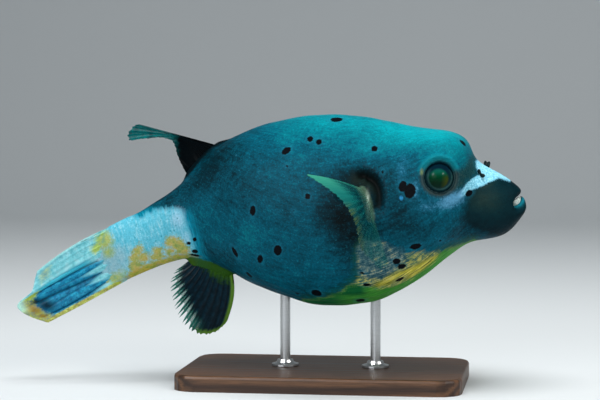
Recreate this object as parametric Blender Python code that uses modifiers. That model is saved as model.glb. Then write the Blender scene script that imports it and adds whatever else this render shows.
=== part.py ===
"""Black-spotted puffer (Arothron nigropunctatus), a life-size swimming model on a display stand.

Lengths are in millimetres until a mesh is made. +X points to the snout, +Z up, and the fish's
right side is -Y. The origin is the middle of the stand's underside. The body is one smooth skin
through named cross sections, parted by thin cuts. The fins are ribbed plates between a root line
and a margin, and everything behind the trunk swings a little to the fish's right.
"""
import math

import bmesh
import bpy
import numpy as np
from mathutils import Matrix, Vector

MM = 0.001
GAP = 0.3                       # clearance between touching pieces
BELLY_HEIGHT = 40.5             # lowest point of the belly above the floor

# Cross sections from the mouth to the tail fin: back x and z, belly x and z, half width.
# Heights are above the belly's lowest point.
SECTIONS = {
    "mouth_floor":  (93.8, 54.0, 94.3, 51.0, 2.6),
    "mouth_rim":    (98.8, 57.0, 99.6, 55.8, 4.8),
    "lip_crest":    (99.3, 58.6, 101.2, 54.1, 7.0),
    "lip_outer":    (98.3, 60.3, 102.0, 50.1, 9.2),
    "lip_root":     (96.6, 61.8, 100.2, 46.1, 10.9),
    "muzzle":       (94.0, 63.8, 95.4, 40.0, 12.8),
    "snout":        (87.9, 67.7, 86.9, 35.1, 16.8),
    "nostrils":     (80.4, 71.7, 75.3, 32.7, 21.2),
    "brow_foot":    (75.8, 76.2, 69.2, 29.8, 25.0),
    "forehead":     (72.3, 83.3, 62.2, 24.5, 29.3),
    "brow":         (65.0, 88.0, 55.0, 18.8, 32.8),
    "nape":         (50.4, 90.0, 43.4, 10.6, 36.5),
    "gill":         (32.2, 93.6, 28.7, 3.2, 39.6),
    "shoulder":     (12.9, 96.5, 12.4, 0.0, 40.9),
    "trunk":        (-8.8, 96.1, -6.2, 0.5, 39.9),
    "flank":        (-29.4, 92.1, -22.2, 5.0, 36.0),
    "dorsal_front": (-48.5, 84.4, -37.7, 10.6, 29.1),
    "dorsal_rear":  (-63.0, 73.6, -51.1, 17.6, 21.5),
    "vent":         (-73.3, 62.4, -64.0, 22.7, 15.1),
    "peduncle":     (-86.2, 52.6, -76.4, 21.7, 11.0),
    "slender":      (-99.1, 45.2, -89.8, 17.3, 8.4),
    "tail_root":    (-113.0, 38.0, -103.2, 11.2, 5.6),
}
WIDEST_LEVEL = 0.46             # height of the widest line, as a share of each section
ROUND = 2.1                     # superellipse exponent of a plain section
FLAT_CROWN = 2.7                # the same for the top of the head, between the eyes
CROWN_SPAN = ("snout", "gill")  # the sections between which the crown is flatter
MOUTH_CORNER = (-5.4, -4.0)     # how far the mouth's corners lie back and down
LOWER_LIP_DIP = 6.0             # how far the lower lip's sides sag, so that the teeth show
RINGS_EVERY = 6.5               # spacing of the rings along the body
SIDES = 32                      # points round a ring
HEAD_ENDS = ("nape", 0.72)      # the cuts: a section, and how far on towards the next one
TRUNK_ENDS = ("vent", 0.0)

SWING_START = -42.0             # the tail begins to swing sideways here
SWING_LENGTH = 70.0
SWING_ANGLE = math.radians(16)

EYE_RADIUS = 8.6
EYE_CENTRE = (59.0, 27.6, 65.4)           # left eye, z above the belly's lowest point
EYE_TURN = (math.radians(18), math.radians(9))   # gaze turned forwards and upwards
EYE_OPENING = 7.1               # radius of the part that shows
LID_THICK = 1.7
LID_REACH = 8.3                 # radius of the middle of the lid ring
LID_SEAT = 0.9                  # the lid ring's height, as a share of the opening's
EYE_MESH = (18, 10)             # segments and rings of a ball
LID_MESH = (26, 8)              # faces along a lid ring and round its section

FLAPS = {  # a nasal flap's foot and direction, half length of a lobe, and lean of each lobe
    "left":  ((81.3, 12.0, 69.3), (0.15, 0.2, 1.0), 3.0, math.radians(13)),
    "right": ((79.4, -14.4, 67.0), (0.45, -0.75, 0.6), 2.5, math.radians(33)),
}
FLAP_LOBE = (1.15, 0.85)        # half width and half thickness of a lobe
FLAP_LIFT = 0.62                # height of a lobe's middle, as a share of its half length
FLAP_FOOT = (1.5, 1.1, 1.6)     # half sizes of the root that joins the lobes
FLAP_WIDTH_WAY = (0.6, 0.0, -0.8)   # the fork opens about along the snout's slope
FLAP_MESH = (10, 8)             # segments and rings of a lobe
FLAP_SUNK = 0.8                 # how deep the foot sits
FLAP_VOXEL = 0.7                # size of the cubes that melt lobes and root together

BEAK_CENTRE = (95.7, 53.1)
BEAK_SIZE = (4.3, 5.3, 3.8)     # half sizes: along the head, across it, and up
GAPE_TILT = math.radians(38)    # the bite runs down and back from the front
BITE_BLOCK = 12.0               # half size of the block that parts the beak
BEAK_MESH = (16, 10)            # segments and rings of the bill

RAY_THICK = 1.0
MEMBRANE_THICK = 0.6
FIN_STEPS = 5                   # rows of faces from a fin's root to its margin
FOOT_SHARE = 0.5                # a ray's thick foot tapers off over this share of its length
PLEAT_LEAD = 0.15               # a pleat already has some depth at the root, by this share

# Fin roots and margins, from the first ray to the last.
DORSAL_ROOT = [(-50.5, 0.0, 79.5), (-60.0, 0.0, 71.5), (-68.5, 0.0, 62.5)]
DORSAL_MARGIN = [(-96.5, -1.5, 92.0), (-101.2, -2.2, 88.0), (-100.8, -2.7, 83.4), (-92.0, -2.5, 82.2),
                 (-83.0, -2.0, 81.2), (-77.6, -1.0, 77.5), (-72.0, 0.0, 66.5)]
ANAL_ROOT = [(-48.5, 0.0, 19.0), (-57.5, 0.0, 23.5), (-67.5, 0.0, 25.5)]
ANAL_MARGIN = [(-51.1, 1.0, -10.3), (-56.8, 1.5, -15.5), (-62.5, 1.5, -17.0), (-69.7, 1.0, -15.3),
               (-75.9, 0.5, -8.3), (-79.5, 0.0, 1.9), (-80.5, 0.0, 9.6), (-77.0, 0.0, 17.5)]
CAUDAL_ROOT = [(-112.0, 0.0, 37.5), (-107.5, 0.0, 24.0), (-102.5, 0.0, 11.5)]
CAUDAL_MARGIN = [(-148.1, 0.0, 16.8), (-149.6, 0.0, 11.5), (-151.0, 0.0, 6.5), (-158.4, 0.0, -1.1),
                 (-152.2, 0.0, -6.4), (-142.9, 0.0, -9.8)]
PECTORAL_ROOT = [(24.0, 37.5, 60.0), (27.1, 38.5, 53.9), (28.4, 38.6, 46.5)]
PECTORAL_MARGIN = [(-2.3, 58.0, 68.7), (6.6, 63.0, 64.2), (14.9, 67.0, 57.4), (21.0, 71.0, 50.2),
                   (24.4, 72.0, 43.9), (25.2, 71.0, 39.1), (26.0, 67.0, 33.0), (29.4, 61.0, 27.2),
                   (34.0, 53.0, 22.6), (37.6, 46.5, 24.5)]
DORSAL_LIFT = 4.0               # how far the dorsal fin's middle rays bow upwards
DORSAL_SIDE_BOW = 1.2           # and how far all its rays bow to the left
DORSAL_BOW_STARTS = (0.0, 0.24)     # shares of the fin over which the lift comes and goes
DORSAL_BOW_ENDS = (0.75, 0.6)

BASE_SIZE = (144.0, 88.0, 8.0)
BASE_CORNER = 12.0
BASE_EDGE = 1.4
SHARP_ANGLE = math.radians(50)  # edges sharper than this are shaded as edges
ROD_RADIUS = 2.6
ROD_PLACES = {"front": 26.0, "rear": -20.5}
ROD_REACH = 12.0                # how far a rod would run into the belly before it is trimmed
ROD_SIDES = 24
COLLAR_RADIUS = 7.0
COLLAR_HEIGHT = 3.2
COLLAR_NECK = 1.4               # thickness of a collar's wall at its top
COLLAR_WAIST = 0.5              # how much wider it is at the waist
COLLAR_WAIST_LEVEL = 0.55       # heights of the waist and the shoulder, as shares of its height
COLLAR_SHOULDER_LEVEL = 0.3
COLLAR_SIDES = 16


# ---------------------------------------------------------------- scene and materials

def clear_scene():
    for obj in list(bpy.data.objects):
        bpy.data.objects.remove(obj, do_unlink=True)


def new_collection(name):
    collection = bpy.data.collections.new(name)
    bpy.context.scene.collection.children.link(collection)
    return collection


def principled(name, colour, roughness, metallic=0.0):
    material = bpy.data.materials.new(name)
    material.use_nodes = True
    shader = material.node_tree.nodes["Principled BSDF"]
    shader.inputs["Base Color"].default_value = (*colour, 1.0)
    shader.inputs["Roughness"].default_value = roughness
    shader.inputs["Metallic"].default_value = metallic
    return material


def make_materials():
    return {
        "back_skin": principled("back_skin", (0.008, 0.15, 0.20), 0.55),
        "head_skin": principled("head_skin", (0.01, 0.10, 0.14), 0.55),
        "tail_skin": principled("tail_skin", (0.20, 0.50, 0.56), 0.55),
        "lid_skin": principled("lid_skin", (0.01, 0.05, 0.05), 0.5),
        "dark_fin": principled("dark_fin", (0.003, 0.02, 0.03), 0.45),
        "clear_fin": principled("clear_fin", (0.02, 0.20, 0.19), 0.4),
        "tail_fin": principled("tail_fin", (0.05, 0.25, 0.36), 0.4),
        "eye": principled("eye", (0.004, 0.03, 0.02), 0.08),
        "beak": principled("beak", (0.65, 0.68, 0.62), 0.25),
        "walnut": principled("walnut", (0.06, 0.03, 0.015), 0.5),
        "steel": principled("steel", (0.55, 0.55, 0.55), 0.3, 1.0),
    }


# ---------------------------------------------------------------- curves

def spline(knots, values):
    """Natural cubic spline through values (rows) at knots, as a function of one number."""
    knots = np.asarray(knots, float)
    values = np.asarray(values, float)
    step = np.diff(knots)
    slope = np.diff(values, axis=0) / step[:, None]
    count = len(knots)
    system = np.eye(count)
    bend = np.zeros_like(values)
    for i in range(1, count - 1):
        system[i, i - 1:i + 2] = step[i - 1], 2 * (step[i - 1] + step[i]), step[i]
        bend[i] = 6 * (slope[i] - slope[i - 1])
    curve = np.linalg.solve(system, bend)

    def at(u):
        i = min(max(int(np.searchsorted(knots, u)) - 1, 0), count - 2)
        h = step[i]
        a = (knots[i + 1] - u) / h
        b = (u - knots[i]) / h
        return (a * values[i] + b * values[i + 1]
                + ((a ** 3 - a) * curve[i] + (b ** 3 - b) * curve[i + 1]) * h * h / 6)
    return at


def spline_by_length(points):
    """Cubic curve through points, run from 0 to 1 by the length of its chords."""
    points = np.asarray(points, float)
    run = np.concatenate([[0.0], np.cumsum(np.linalg.norm(np.diff(points, axis=0), axis=1))])
    return spline(run / run[-1], points)


NAMES = list(SECTIONS)
TABLE = np.array(list(SECTIONS.values()))
STEPS = np.linalg.norm(np.diff((TABLE[:, 0:2] + TABLE[:, 2:4]) / 2, axis=0), axis=1)
WIDENING = np.abs(np.diff(TABLE[:, 4]))
RUN = np.concatenate([[0.0], np.cumsum(np.hypot(STEPS, WIDENING))])
SECTION_AT = spline(RUN, TABLE)


def run_of(name, towards_next=0.0):
    i = NAMES.index(name)
    return RUN[i] if towards_next == 0 else RUN[i] + towards_next * (RUN[i + 1] - RUN[i])


def smooth(low, high, value):
    """0 below low, 1 above high, and an even S between."""
    share = min(max((value - low) / (high - low), 0.0), 1.0)
    return share * share * (3 - 2 * share)


def bump(value, low, high):
    """Smooth hill that is 0 at low and high and 1 halfway between."""
    share = min(max((value - low) / (high - low), 0.0), 1.0)
    return math.sin(math.pi * share) ** 2


def body_point(u, angle):
    """Point of the skin at run u, angle 0 on the back and a quarter turn on the left side."""
    back_x, back_z, belly_x, belly_z, half_width = SECTION_AT(u)
    back = np.array([back_x, 0.0, back_z])
    belly = np.array([belly_x, 0.0, belly_z])
    middle = belly + WIDEST_LEVEL * (back - belly)
    crown = bump(u, run_of(CROWN_SPAN[0]), run_of(CROWN_SPAN[1]))
    power = ROUND + (FLAT_CROWN - ROUND) * crown * (math.cos(angle) > 0)
    across = math.copysign(abs(math.sin(angle)) ** (2 / power), math.sin(angle))
    upward = abs(math.cos(angle)) ** (2 / power)
    spine = back - middle if math.cos(angle) > 0 else belly - middle
    point = middle + spine * upward + np.array([0.0, half_width * across, 0.0])
    recess = max(0.0, 1 - max(0.0, u - run_of("lip_crest")) / (run_of("snout") - run_of("lip_crest")))
    corner = recess ** 1.5 * math.sin(angle) ** 4
    point[0] += MOUTH_CORNER[0] * corner
    point[2] += MOUTH_CORNER[1] * corner
    sag = recess ** 1.5 * math.sin(angle) ** 2 * max(-math.cos(angle), 0.0)
    point[2] -= LOWER_LIP_DIP * sag
    return point


def swing(point):
    """Carry a point behind SWING_START round the sideways curve of the tail."""
    behind = SWING_START - point[0]
    if behind <= 0:
        return np.array(point, float)
    turned = SWING_ANGLE * min(behind / SWING_LENGTH, 1.0)
    radius = SWING_LENGTH / SWING_ANGLE
    x = SWING_START - radius * math.sin(turned)
    y = -radius * (1 - math.cos(turned))
    straight = max(0.0, behind - SWING_LENGTH)
    x -= straight * math.cos(turned)
    y -= straight * math.sin(turned)
    return np.array([x - point[1] * math.sin(turned), y + point[1] * math.cos(turned), point[2]])


def place(point):
    """Fish coordinates to metres in the world."""
    x, y, z = swing(point)
    return Vector((x, y, z + BELLY_HEIGHT)) * MM


# ---------------------------------------------------------------- meshes

def finish_mesh(name, bm, collection, material):
    bmesh.ops.recalc_face_normals(bm, faces=bm.faces)
    mesh = bpy.data.meshes.new(name)
    bm.to_mesh(mesh)
    bm.free()
    mesh.materials.append(material)
    mesh.shade_smooth()
    mesh.set_sharp_from_angle(angle=SHARP_ANGLE)
    obj = bpy.data.objects.new(name, mesh)
    collection.objects.link(obj)
    return obj


def ring_runs(start, end):
    """Runs of the rings from start to end: every section, and evenly between sections."""
    stops = [start] + [r for r in RUN if start + 1 < r < end - 1] + [end]
    runs = []
    for low, high in zip(stops, stops[1:]):
        count = max(1, round((high - low) / RINGS_EVERY))
        runs += [low + (high - low) * k / count for k in range(count)]
    return runs + [end]


def body_mesh(name, start, end, collection, material, swell=0.0):
    """Closed length of the body from run start to run end."""
    bm = bmesh.new()
    rings = []
    for u in ring_runs(start, end):
        angles = [2 * math.pi * k / SIDES for k in range(SIDES)]
        rings.append([bm.verts.new(place(body_point(u, angle))) for angle in angles])
    for ring, following in zip(rings, rings[1:]):
        for k in range(SIDES):
            nxt = (k + 1) % SIDES
            bm.faces.new((ring[k], ring[nxt], following[nxt], following[k]))
    for ring in (rings[0], rings[-1]):
        centre = bm.verts.new(sum((v.co for v in ring), Vector()) / SIDES)
        for k in range(SIDES):
            bm.faces.new((ring[k], ring[(k + 1) % SIDES], centre))
    bmesh.ops.recalc_face_normals(bm, faces=bm.faces)
    if swell:
        bm.normal_update()
        for vert in bm.verts:
            vert.co += vert.normal * swell * MM
    return finish_mesh(name, bm, collection, material)


def cut(obj, cutter, operation="DIFFERENCE"):
    modifier = obj.modifiers.new(cutter.name, "BOOLEAN")
    modifier.operation = operation
    modifier.object = cutter


def as_cutter(obj):
    obj.hide_render = True
    obj.display_type = "WIRE"
    return obj


def sphere(name, centre, radius, collection, material, mesh_size=EYE_MESH):
    bm = bmesh.new()
    bmesh.ops.create_uvsphere(bm, u_segments=mesh_size[0], v_segments=mesh_size[1], radius=radius * MM)
    obj = finish_mesh(name, bm, collection, material)
    obj.location = centre
    return obj


# ---------------------------------------------------------------- body, eyes, nose, mouth

def make_body(parts, cutters, paint):
    head_end = run_of(*HEAD_ENDS)
    trunk_end = run_of(*TRUNK_ENDS)
    head = body_mesh("head", 0.0, head_end, parts, paint["head_skin"])
    body_mesh("trunk", head_end + GAP, trunk_end, parts, paint["back_skin"])
    body_mesh("tail_peduncle", trunk_end + GAP, RUN[-1], parts, paint["tail_skin"])
    swollen = body_mesh("body_clearance", 0.0, RUN[-1], cutters, paint["head_skin"], swell=GAP)
    return head, as_cutter(swollen)


def eye_frame(side):
    """Rotation whose Z axis is the gaze of the eye on this side (1 left, -1 right)."""
    forward, upward = EYE_TURN
    gaze = Vector((math.sin(forward), side * math.cos(forward), math.sin(upward))).normalized()
    return gaze.to_track_quat("Z", "Y").to_matrix().to_4x4()


def make_eyes(head, swollen, parts, cutters, paint):
    lid_height = LID_SEAT * math.sqrt(EYE_RADIUS ** 2 - EYE_OPENING ** 2)
    for side, label in ((1, "left"), (-1, "right")):
        centre = place((EYE_CENTRE[0], side * EYE_CENTRE[1], EYE_CENTRE[2]))
        eye = sphere(f"eye_{label}", centre, EYE_RADIUS, parts, paint["eye"])
        eye.rotation_euler = eye_frame(side).to_euler()
        socket = sphere(f"socket_{label}", centre, EYE_RADIUS + GAP, cutters, paint["eye"])
        socket.rotation_euler = eye.rotation_euler
        cut(head, as_cutter(socket))
        bpy.ops.mesh.primitive_torus_add(
            major_segments=LID_MESH[0], minor_segments=LID_MESH[1],
            major_radius=LID_REACH * MM, minor_radius=LID_THICK * MM)
        lid = bpy.context.object
        lid.name = f"eye_lid_{label}"
        for holder in lid.users_collection:
            holder.objects.unlink(lid)
        parts.objects.link(lid)
        lid.data.materials.append(paint["lid_skin"])
        lid.data.shade_smooth()
        seat = Matrix.Translation((0, 0, lid_height * MM))
        lid.matrix_world = Matrix.Translation(centre) @ eye_frame(side) @ seat
        cut(lid, socket)
        cut(lid, swollen)


def make_nasal_flaps(swollen, parts, paint):
    """A forked flap on each side: two small tapering lobes on one root."""
    for label, (foot_place, direction, half_length, spread) in FLAPS.items():
        bm = bmesh.new()
        for lean in (-1, 1):
            lobe = bmesh.ops.create_uvsphere(bm, u_segments=FLAP_MESH[0], v_segments=FLAP_MESH[1], radius=MM)
            stretch = Matrix.Diagonal((*FLAP_LOBE, half_length, 1.0))
            lift = Matrix.Translation((0, 0, half_length * FLAP_LIFT * MM))
            tilt = Matrix.Rotation(lean * spread, 4, "Y")
            bmesh.ops.transform(bm, matrix=tilt @ lift @ stretch, verts=lobe["verts"])
        foot = bmesh.ops.create_uvsphere(bm, u_segments=FLAP_MESH[0], v_segments=FLAP_MESH[1], radius=MM)
        bmesh.ops.transform(bm, matrix=Matrix.Diagonal((*FLAP_FOOT, 1.0)), verts=foot["verts"])
        flap = finish_mesh(f"nasal_flap_{label}", bm, parts, paint["dark_fin"])
        outward = Vector(direction).normalized()
        across = Vector(FLAP_WIDTH_WAY)
        across = (across - across.dot(outward) * outward).normalized()
        turn = Matrix((across, outward.cross(across), outward)).transposed().to_4x4()
        flap.matrix_world = Matrix.Translation(place(foot_place) - outward * FLAP_SUNK * MM) @ turn
        join = flap.modifiers.new("one_body", "REMESH")
        join.mode = "VOXEL"
        join.voxel_size = FLAP_VOXEL * MM
        cut(flap, swollen)


def make_beak(swollen, parts, cutters, paint):
    """The fused teeth: one rounded bill, parted along the bite into an upper and a lower plate."""
    centre = place((BEAK_CENTRE[0], 0.0, BEAK_CENTRE[1]))
    bite = Matrix.Translation(centre) @ Matrix.Rotation(-GAPE_TILT, 4, "Y")
    for label, up in (("upper", 1), ("lower", -1)):
        plate = sphere(f"beak_{label}", (0, 0, 0), 1.0, parts, paint["beak"], BEAK_MESH)
        plate.data.transform(Matrix.Diagonal((*BEAK_SIZE, 1.0)))
        plate.matrix_world = bite
        bm = bmesh.new()
        bmesh.ops.create_cube(bm, size=2 * BITE_BLOCK * MM)
        keep = finish_mesh(f"bite_{label}", bm, cutters, paint["beak"])
        offset = up * (BITE_BLOCK + GAP / 2) * MM
        keep.matrix_world = bite @ Matrix.Translation((0, 0, offset))
        cut(plate, as_cutter(keep), "INTERSECT")
        cut(plate, swollen)


# ---------------------------------------------------------------- fins

def even_bow(*bend):
    return lambda share: np.array(bend, float)


def dorsal_bow(share):
    lift = DORSAL_LIFT * smooth(*DORSAL_BOW_STARTS, share) * smooth(*DORSAL_BOW_ENDS, share)
    return np.array([0.0, DORSAL_SIDE_BOW, lift])


def fin_mesh(name, root, margin, rays, collection, material, bow=even_bow(0, 0, 0), pleat=0.0, foot=1.0):
    """Closed ribbed plate between two curves, both run from the first ray to the last.

    Odd columns are rays and even ones membrane. bow tells how far a ray's middle bends, by its
    share of the fin; pleat folds the rays to alternate sides; and foot is how many times thicker
    they are at the root.
    """
    columns = 2 * rays + 1
    grid = np.zeros((columns, FIN_STEPS + 1, 3))
    for i in range(columns):
        share = i / (columns - 1)
        low = root(share)
        high = margin(share)
        for j in range(FIN_STEPS + 1):
            rise = j / FIN_STEPS
            grid[i, j] = low + (high - low) * rise + bow(share) * math.sin(math.pi * rise)
    along = np.gradient(grid, axis=0)
    outward = np.gradient(grid, axis=1)
    normal = np.cross(along, outward)
    normal /= np.linalg.norm(normal, axis=2, keepdims=True)
    bm = bmesh.new()
    verts = {}
    for side in (1, -1):
        for i in range(columns):
            on_ray = i % 2 == 1
            thick = RAY_THICK if on_ray else MEMBRANE_THICK
            fold = pleat * (1 if i % 4 == 1 else -1 if i % 4 == 3 else 0)
            for j in range(FIN_STEPS + 1):
                rise = j / FIN_STEPS
                half = thick / 2 * (foot + (1 - foot) * min(1.0, rise / FOOT_SHARE))
                shift = side * half + fold * math.sin(math.pi * min(1.0, rise + PLEAT_LEAD))
                verts[side, i, j] = bm.verts.new(place(grid[i, j] + normal[i, j] * shift))
    for i in range(columns - 1):
        for j in range(FIN_STEPS):
            corners = ((i, j), (i + 1, j), (i + 1, j + 1), (i, j + 1))
            for side in (1, -1):
                bm.faces.new([verts[side, a, b] for a, b in corners])
    rim = ([(i, 0) for i in range(columns)] + [(columns - 1, j) for j in range(1, FIN_STEPS + 1)]
           + [(i, FIN_STEPS) for i in range(columns - 2, -1, -1)]
           + [(0, j) for j in range(FIN_STEPS - 1, 0, -1)])
    for here, there in zip(rim, rim[1:] + rim[:1]):
        bm.faces.new([verts[1, *here], verts[1, *there], verts[-1, *there], verts[-1, *here]])
    return finish_mesh(name, bm, collection, material)


def make_middle_fins(swollen, parts, paint):
    dorsal = fin_mesh(
        "dorsal_fin", spline_by_length(DORSAL_ROOT), spline_by_length(DORSAL_MARGIN),
        rays=10, collection=parts, material=paint["dark_fin"], bow=dorsal_bow, foot=3.0)
    anal = fin_mesh(
        "anal_fin", spline_by_length(ANAL_ROOT), spline_by_length(ANAL_MARGIN),
        rays=10, collection=parts, material=paint["dark_fin"], bow=even_bow(2.6, 0, 0), foot=4.0)
    caudal = fin_mesh(
        "caudal_fin", spline_by_length(CAUDAL_ROOT), spline_by_length(CAUDAL_MARGIN),
        rays=9, collection=parts, material=paint["tail_fin"], pleat=0.9, foot=2.4)
    for fin in (dorsal, anal, caudal):
        cut(fin, swollen)


def make_pectoral_fins(swollen, parts, paint):
    for side, label in ((1, "left"), (-1, "right")):
        root = spline_by_length([(x, side * y, z) for x, y, z in PECTORAL_ROOT])
        margin = spline_by_length([(x, side * y, z) for x, y, z in PECTORAL_MARGIN])
        fin = fin_mesh(
            f"pectoral_fin_{label}", root, margin, rays=17, collection=parts,
            material=paint["clear_fin"], bow=even_bow(1.0, side * 1.4, 0.3), foot=2.0)
        cut(fin, swollen)


# ---------------------------------------------------------------- stand

def make_stand(swollen, parts, paint):
    length, width, thick = BASE_SIZE
    bm = bmesh.new()
    bmesh.ops.create_cube(bm, size=1.0)
    bmesh.ops.transform(bm, matrix=Matrix.Diagonal((length * MM, width * MM, thick * MM, 1)),
                        verts=bm.verts)
    bmesh.ops.translate(bm, vec=(0, 0, thick / 2 * MM), verts=bm.verts)
    upright = [e for e in bm.edges if abs(e.verts[0].co.z - e.verts[1].co.z) > thick / 2 * MM]
    bmesh.ops.bevel(bm, geom=upright, offset=BASE_CORNER * MM, segments=4, profile=0.5, affect="EDGES")
    rim = [e for e in bm.edges if min(v.co.z for v in e.verts) > (thick - 0.01) * MM]
    bmesh.ops.bevel(bm, geom=rim, offset=BASE_EDGE * MM, segments=2, profile=0.5, affect="EDGES")
    finish_mesh("stand_base", bm, parts, paint["walnut"])
    for label, x in ROD_PLACES.items():
        foot = thick + GAP
        top = BELLY_HEIGHT + ROD_REACH
        bpy.ops.mesh.primitive_cylinder_add(
            vertices=ROD_SIDES, radius=ROD_RADIUS * MM, depth=(top - foot) * MM,
            location=(x * MM, 0, (foot + top) / 2 * MM))
        rod = bpy.context.object
        rod.name = f"stand_rod_{label}"
        for holder in rod.users_collection:
            holder.objects.unlink(rod)
        parts.objects.link(rod)
        rod.data.materials.append(paint["steel"])
        cut(rod, swollen)
        make_collar(f"stand_collar_{label}", x, foot, parts, paint["steel"])


def make_collar(name, x, foot, parts, material):
    """Low turned foot round a rod."""
    bore = ROD_RADIUS + GAP
    neck = ROD_RADIUS + COLLAR_NECK
    profile = [(neck, COLLAR_HEIGHT), (neck + COLLAR_WAIST, COLLAR_HEIGHT * COLLAR_WAIST_LEVEL),
               (COLLAR_RADIUS, COLLAR_HEIGHT * COLLAR_SHOULDER_LEVEL), (COLLAR_RADIUS, 0.0),
               (bore, 0.0), (bore, COLLAR_HEIGHT)]
    bm = bmesh.new()
    rings = []
    for k in range(COLLAR_SIDES):
        angle = 2 * math.pi * k / COLLAR_SIDES
        outline = [Vector((x + r * math.cos(angle), r * math.sin(angle), foot + z)) for r, z in profile]
        rings.append([bm.verts.new(point * MM) for point in outline])
    for k in range(COLLAR_SIDES):
        here, there = rings[k], rings[(k + 1) % COLLAR_SIDES]
        for a in range(len(profile)):
            b = (a + 1) % len(profile)
            bm.faces.new((here[a], here[b], there[b], there[a]))
    finish_mesh(name, bm, parts, material)


def main():
    clear_scene()
    parts = new_collection("black_spotted_puffer")
    cutters = new_collection("cutters")
    paint = make_materials()
    head, swollen = make_body(parts, cutters, paint)
    make_eyes(head, swollen, parts, cutters, paint)
    make_nasal_flaps(swollen, parts, paint)
    make_beak(swollen, parts, cutters, paint)
    make_middle_fins(swollen, parts, paint)
    make_pectoral_fins(swollen, parts, paint)
    make_stand(swollen, parts, paint)


main()
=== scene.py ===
# %% [markdown]
# # A black-spotted pufferfish on a display stand
#
# This notebook finishes a life-size museum model of a swimming pufferfish. The solid parts are
# loaded first and never move. Each step then makes one visible piece around them: the skin with its
# markings, the eyes, the beak, the nasal flaps and the fins. The stand keeps its solids and gets
# real finishes. Sizes are in millimetres until a mesh is made.

# %% Load the solid parts
import math

import bmesh
import bpy
import numpy as np
from mathutils import Matrix, Vector


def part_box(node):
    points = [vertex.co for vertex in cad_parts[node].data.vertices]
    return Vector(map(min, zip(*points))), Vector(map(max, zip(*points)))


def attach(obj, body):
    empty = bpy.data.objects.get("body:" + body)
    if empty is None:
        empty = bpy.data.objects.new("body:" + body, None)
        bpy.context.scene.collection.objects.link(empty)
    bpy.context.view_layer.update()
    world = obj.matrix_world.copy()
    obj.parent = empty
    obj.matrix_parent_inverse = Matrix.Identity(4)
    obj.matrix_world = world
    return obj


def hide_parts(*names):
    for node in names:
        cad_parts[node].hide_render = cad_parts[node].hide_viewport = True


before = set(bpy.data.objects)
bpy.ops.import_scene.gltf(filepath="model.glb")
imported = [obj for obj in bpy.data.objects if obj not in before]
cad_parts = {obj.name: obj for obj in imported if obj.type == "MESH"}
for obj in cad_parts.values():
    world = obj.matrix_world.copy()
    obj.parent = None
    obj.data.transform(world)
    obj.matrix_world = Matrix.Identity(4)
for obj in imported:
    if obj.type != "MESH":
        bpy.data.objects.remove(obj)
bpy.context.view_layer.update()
MM = 0.001


# %% [markdown]
# ## The body's curves
#
# A fish body is a smooth tube whose cross section changes all the way along. Sculpting it by hand
# would work, but a boat builder's way is easier to control: a few named sections, each with a back
# line, a belly line and a width, and a smooth curve through them. The solids were made from the same
# sections, so the skin fits them.

# %% Named cross sections
# back x and z, belly x and z, half width; heights are above the belly's lowest point
SECTIONS = {
    "mouth_floor":  (93.8, 54.0, 94.3, 51.0, 2.6),
    "mouth_rim":    (98.8, 57.0, 99.6, 55.8, 4.8),
    "lip_crest":    (99.3, 58.6, 101.2, 54.1, 7.0),
    "lip_outer":    (98.3, 60.3, 102.0, 50.1, 9.2),
    "lip_root":     (96.6, 61.8, 100.2, 46.1, 10.9),
    "muzzle":       (94.0, 63.8, 95.4, 40.0, 12.8),
    "snout":        (87.9, 67.7, 86.9, 35.1, 16.8),
    "nostrils":     (80.4, 71.7, 75.3, 32.7, 21.2),
    "brow_foot":    (75.8, 76.2, 69.2, 29.8, 25.0),
    "forehead":     (72.3, 83.3, 62.2, 24.5, 29.3),
    "brow":         (65.0, 88.0, 55.0, 18.8, 32.8),
    "nape":         (50.4, 90.0, 43.4, 10.6, 36.5),
    "gill":         (32.2, 93.6, 28.7, 3.2, 39.6),
    "shoulder":     (12.9, 96.5, 12.4, 0.0, 40.9),
    "trunk":        (-8.8, 96.1, -6.2, 0.5, 39.9),
    "flank":        (-29.4, 92.1, -22.2, 5.0, 36.0),
    "dorsal_front": (-48.5, 84.4, -37.7, 10.6, 29.1),
    "dorsal_rear":  (-63.0, 73.6, -51.1, 17.6, 21.5),
    "vent":         (-73.3, 62.4, -64.0, 22.7, 15.1),
    "peduncle":     (-86.2, 52.6, -76.4, 21.7, 11.0),
    "slender":      (-99.1, 45.2, -89.8, 17.3, 8.4),
    "tail_root":    (-113.0, 38.0, -103.2, 11.2, 5.6),
    "fin_cover":    (-116.0, 35.4, -106.2, 9.8, 3.3),
    "fin_hem":      (-118.6, 33.8, -108.8, 8.6, 1.3),
    "fin_edge":     (-121.6, 31.8, -111.8, 7.2, 0.3),
}
WIDEST_LEVEL = 0.46              # height of the widest place, as a share of the way up from the belly
ROUND = 2.1                      # power of the cross section's curve: 2 is an ellipse
FLAT_CROWN = 2.7                 # the crown is squarer
CROWN_SPAN = ("snout", "gill")
MOUTH_CORNER = (-5.4, -4.0)      # how far the lips' corners lie back and down, in x and z
LOWER_LIP_DIP = 6.0
SWING_START = -42.0              # x where the tail begins to turn
SWING_LENGTH = 70.0
SWING_ANGLE = math.radians(16)
BELLY_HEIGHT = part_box("trunk")[0].z / MM
print("belly height above the floor:", round(BELLY_HEIGHT, 2), "mm")

# %% [markdown]
# A boat builder bends a thin batten through the marks. In numbers that is a cubic spline, and the
# same one draws the sections, the fins' roots and margins, and the gill slit. Two more small
# formulas, an even S and a soft hill, shape almost every fold and field below.

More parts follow.
